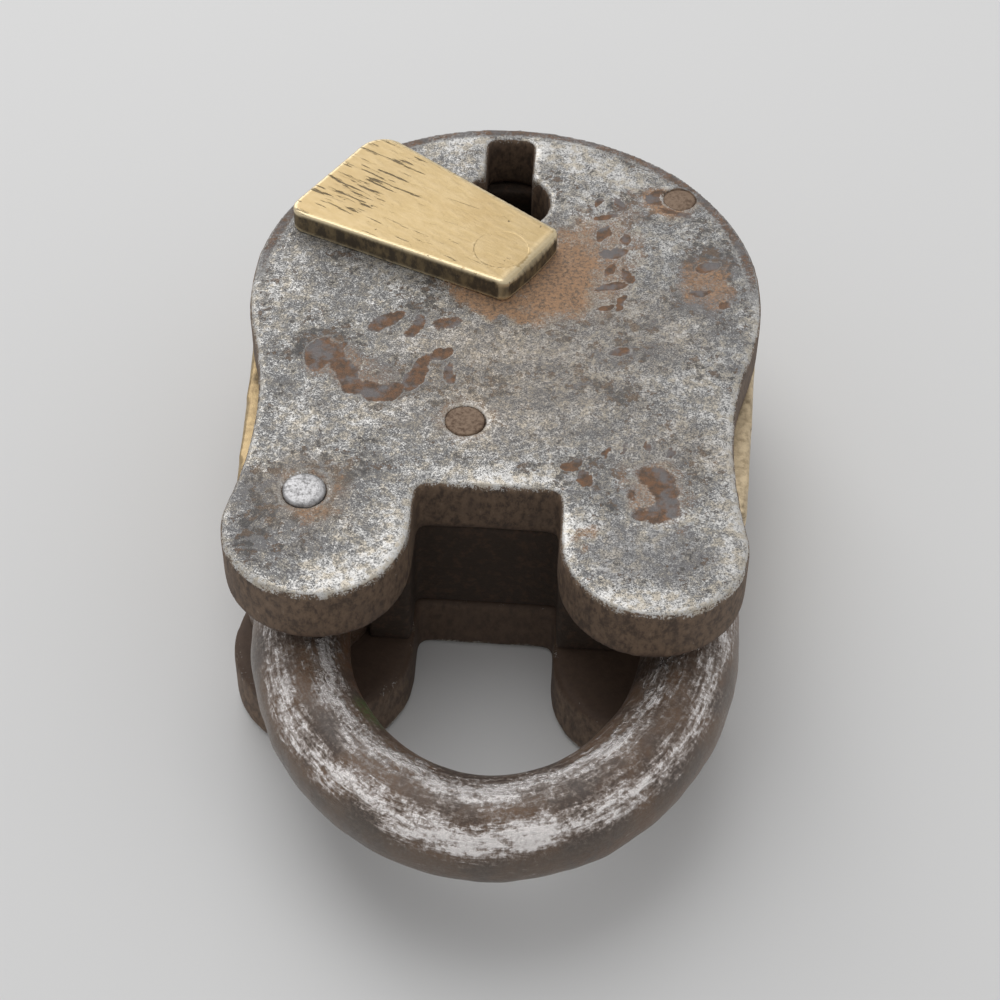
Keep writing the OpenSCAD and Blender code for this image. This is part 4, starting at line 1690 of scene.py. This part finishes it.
@dataclass
class Studio:
    """Floor, lamps and camera."""

    backdrop: Colour = (0.672, 0.672, 0.672)
    paper: Colour = (0.68, 0.68, 0.68)
    floor_size: float = 3.0
    floor_level: float = -0.0002
    world_light: float = 0.62
    lens: float = 78.6
    camera_place: Colour = (0.00968, -0.24001, 0.2555)
    camera_turn: Colour = (0.7318, -0.0183, 0.061)

    def floor(self) -> None:
        """Lays a plain pale floor that keeps the lock's shadow."""
        half = self.floor_size / 2
        mesh = bpy.data.meshes.new("floor")
        mesh.from_pydata([(-half, -half, 0), (half, -half, 0), (half, half, 0), (-half, half, 0)],
                         [], [(0, 1, 2, 3)])
        thing = new_object("floor", mesh)
        thing.location.z = self.floor_level
        material = bpy.data.materials.new("floor_paper")
        material.use_nodes = True
        shader = material.node_tree.nodes["Principled BSDF"]
        shader.inputs["Base Color"].default_value = (*self.paper, 1)
        shader.inputs["Roughness"].default_value = 0.9
        shader.inputs["Specular IOR Level"].default_value = 0.1
        mesh.materials.append(material)

    def world(self) -> None:
        """Sets a soft even sky that the camera sees as the pale backdrop."""
        world = bpy.data.worlds.new("studio")
        bpy.context.scene.world = world
        world.use_nodes = True
        board = Board()
        board.tree = world.node_tree
        board.tree.nodes.clear()
        soft = board.put("ShaderNodeBackground", {"Color": (1, 1, 1),
                                                  "Strength": self.world_light})
        seen = board.put("ShaderNodeBackground", {"Color": self.backdrop})
        ray = board.put("ShaderNodeLightPath", output="Is Camera Ray")
        board.add("ShaderNodeOutputWorld", {
            0: board.put("ShaderNodeMixShader", {0: ray, 1: soft, 2: seen})})

    def lamp(self, name: str, place: Colour, size: float, power: float) -> None:
        """Hangs a soft square lamp that points at the lock.

        Args:
            name: The lamp's name.
            place: Its place in metres.
            size: Its side in metres.
            power: Its power in watts.
        """
        data = bpy.data.lights.new(name, "AREA")
        data.size = size
        data.energy = power
        thing = bpy.data.objects.new(name, data)
        bpy.context.scene.collection.objects.link(thing)
        thing.location = place
        aim = thing.location.copy()
        aim.z -= 0.02
        aim.y += 0.025
        thing.rotation_euler = aim.to_track_quat("Z", "Y").to_euler()

    def camera(self) -> None:
        """Sets the camera at the viewing angle."""
        data = bpy.data.cameras.new("camera")
        data.lens = self.lens
        data.sensor_width = 36.0
        thing = bpy.data.objects.new("camera", data)
        bpy.context.scene.collection.objects.link(thing)
        thing.location = self.camera_place
        thing.rotation_euler = self.camera_turn
        bpy.context.scene.camera = thing

    def make(self) -> None:
        """Builds the studio."""
        self.camera()
        self.floor()
        self.world()
        self.lamp("overhead", (-0.15, 0.25, 0.9), 0.7, 2.6)
        self.lamp("behind", (-0.35, 0.75, 0.55), 0.6, 2.2)
        bpy.context.scene.view_settings.view_transform = "Standard"


def main() -> None:
    """Builds the studio and every piece of the lock."""
    Studio().make()
    plates = Plates(WornSteel().make())
    plates.make("front_plate", Outward.UP)
    plates.make("back_plate", Outward.DOWN)
    Case(CaseBrass().make()).make()
    bright = RivetSteel("bright_rivet_end", body=(0.46, 0.455, 0.46), spot=(0.24, 0.235, 0.235),
                        metal=0.85, rough=0.38)
    rusty = RivetSteel("rusty_rivet_end", body=(0.22, 0.15, 0.10), spot=(0.12, 0.075, 0.05),
                       metal=0.25, rough=0.6)
    Rivets(bright.make(), rusty.make()).make_all()
    Shackle(ForgedSteel().make()).make()
    cover = Cover(CoverBrass().make())
    cover.make()
    cover.make_rivet()
    # Painted shade: the levers and bolt get near-black brass, so that the keyhole looks black
    # inside.
    filed = LockMetal("lock_brass_painted_black", clean=(0.034, 0.023, 0.013), film=(0.014, 0.010, 0.006),
                      grain=(0.2, 1.6, 1.6), rough=0.55)
    turned = LockMetal("lock_steel_turned", clean=(0.42, 0.41, 0.40), film=(0.10, 0.075, 0.055),
                       grain=(1.2, 1.2, 0.2))
    blued = LockMetal("spring_steel_blued", clean=(0.16, 0.17, 0.20), film=(0.07, 0.055, 0.045),
                      grain=(0.3, 1.5, 1.5), rough=0.3)
    Inside(filed.make(), turned.make(), blued.make()).dress()


if __name__ == "__main__":
    main()
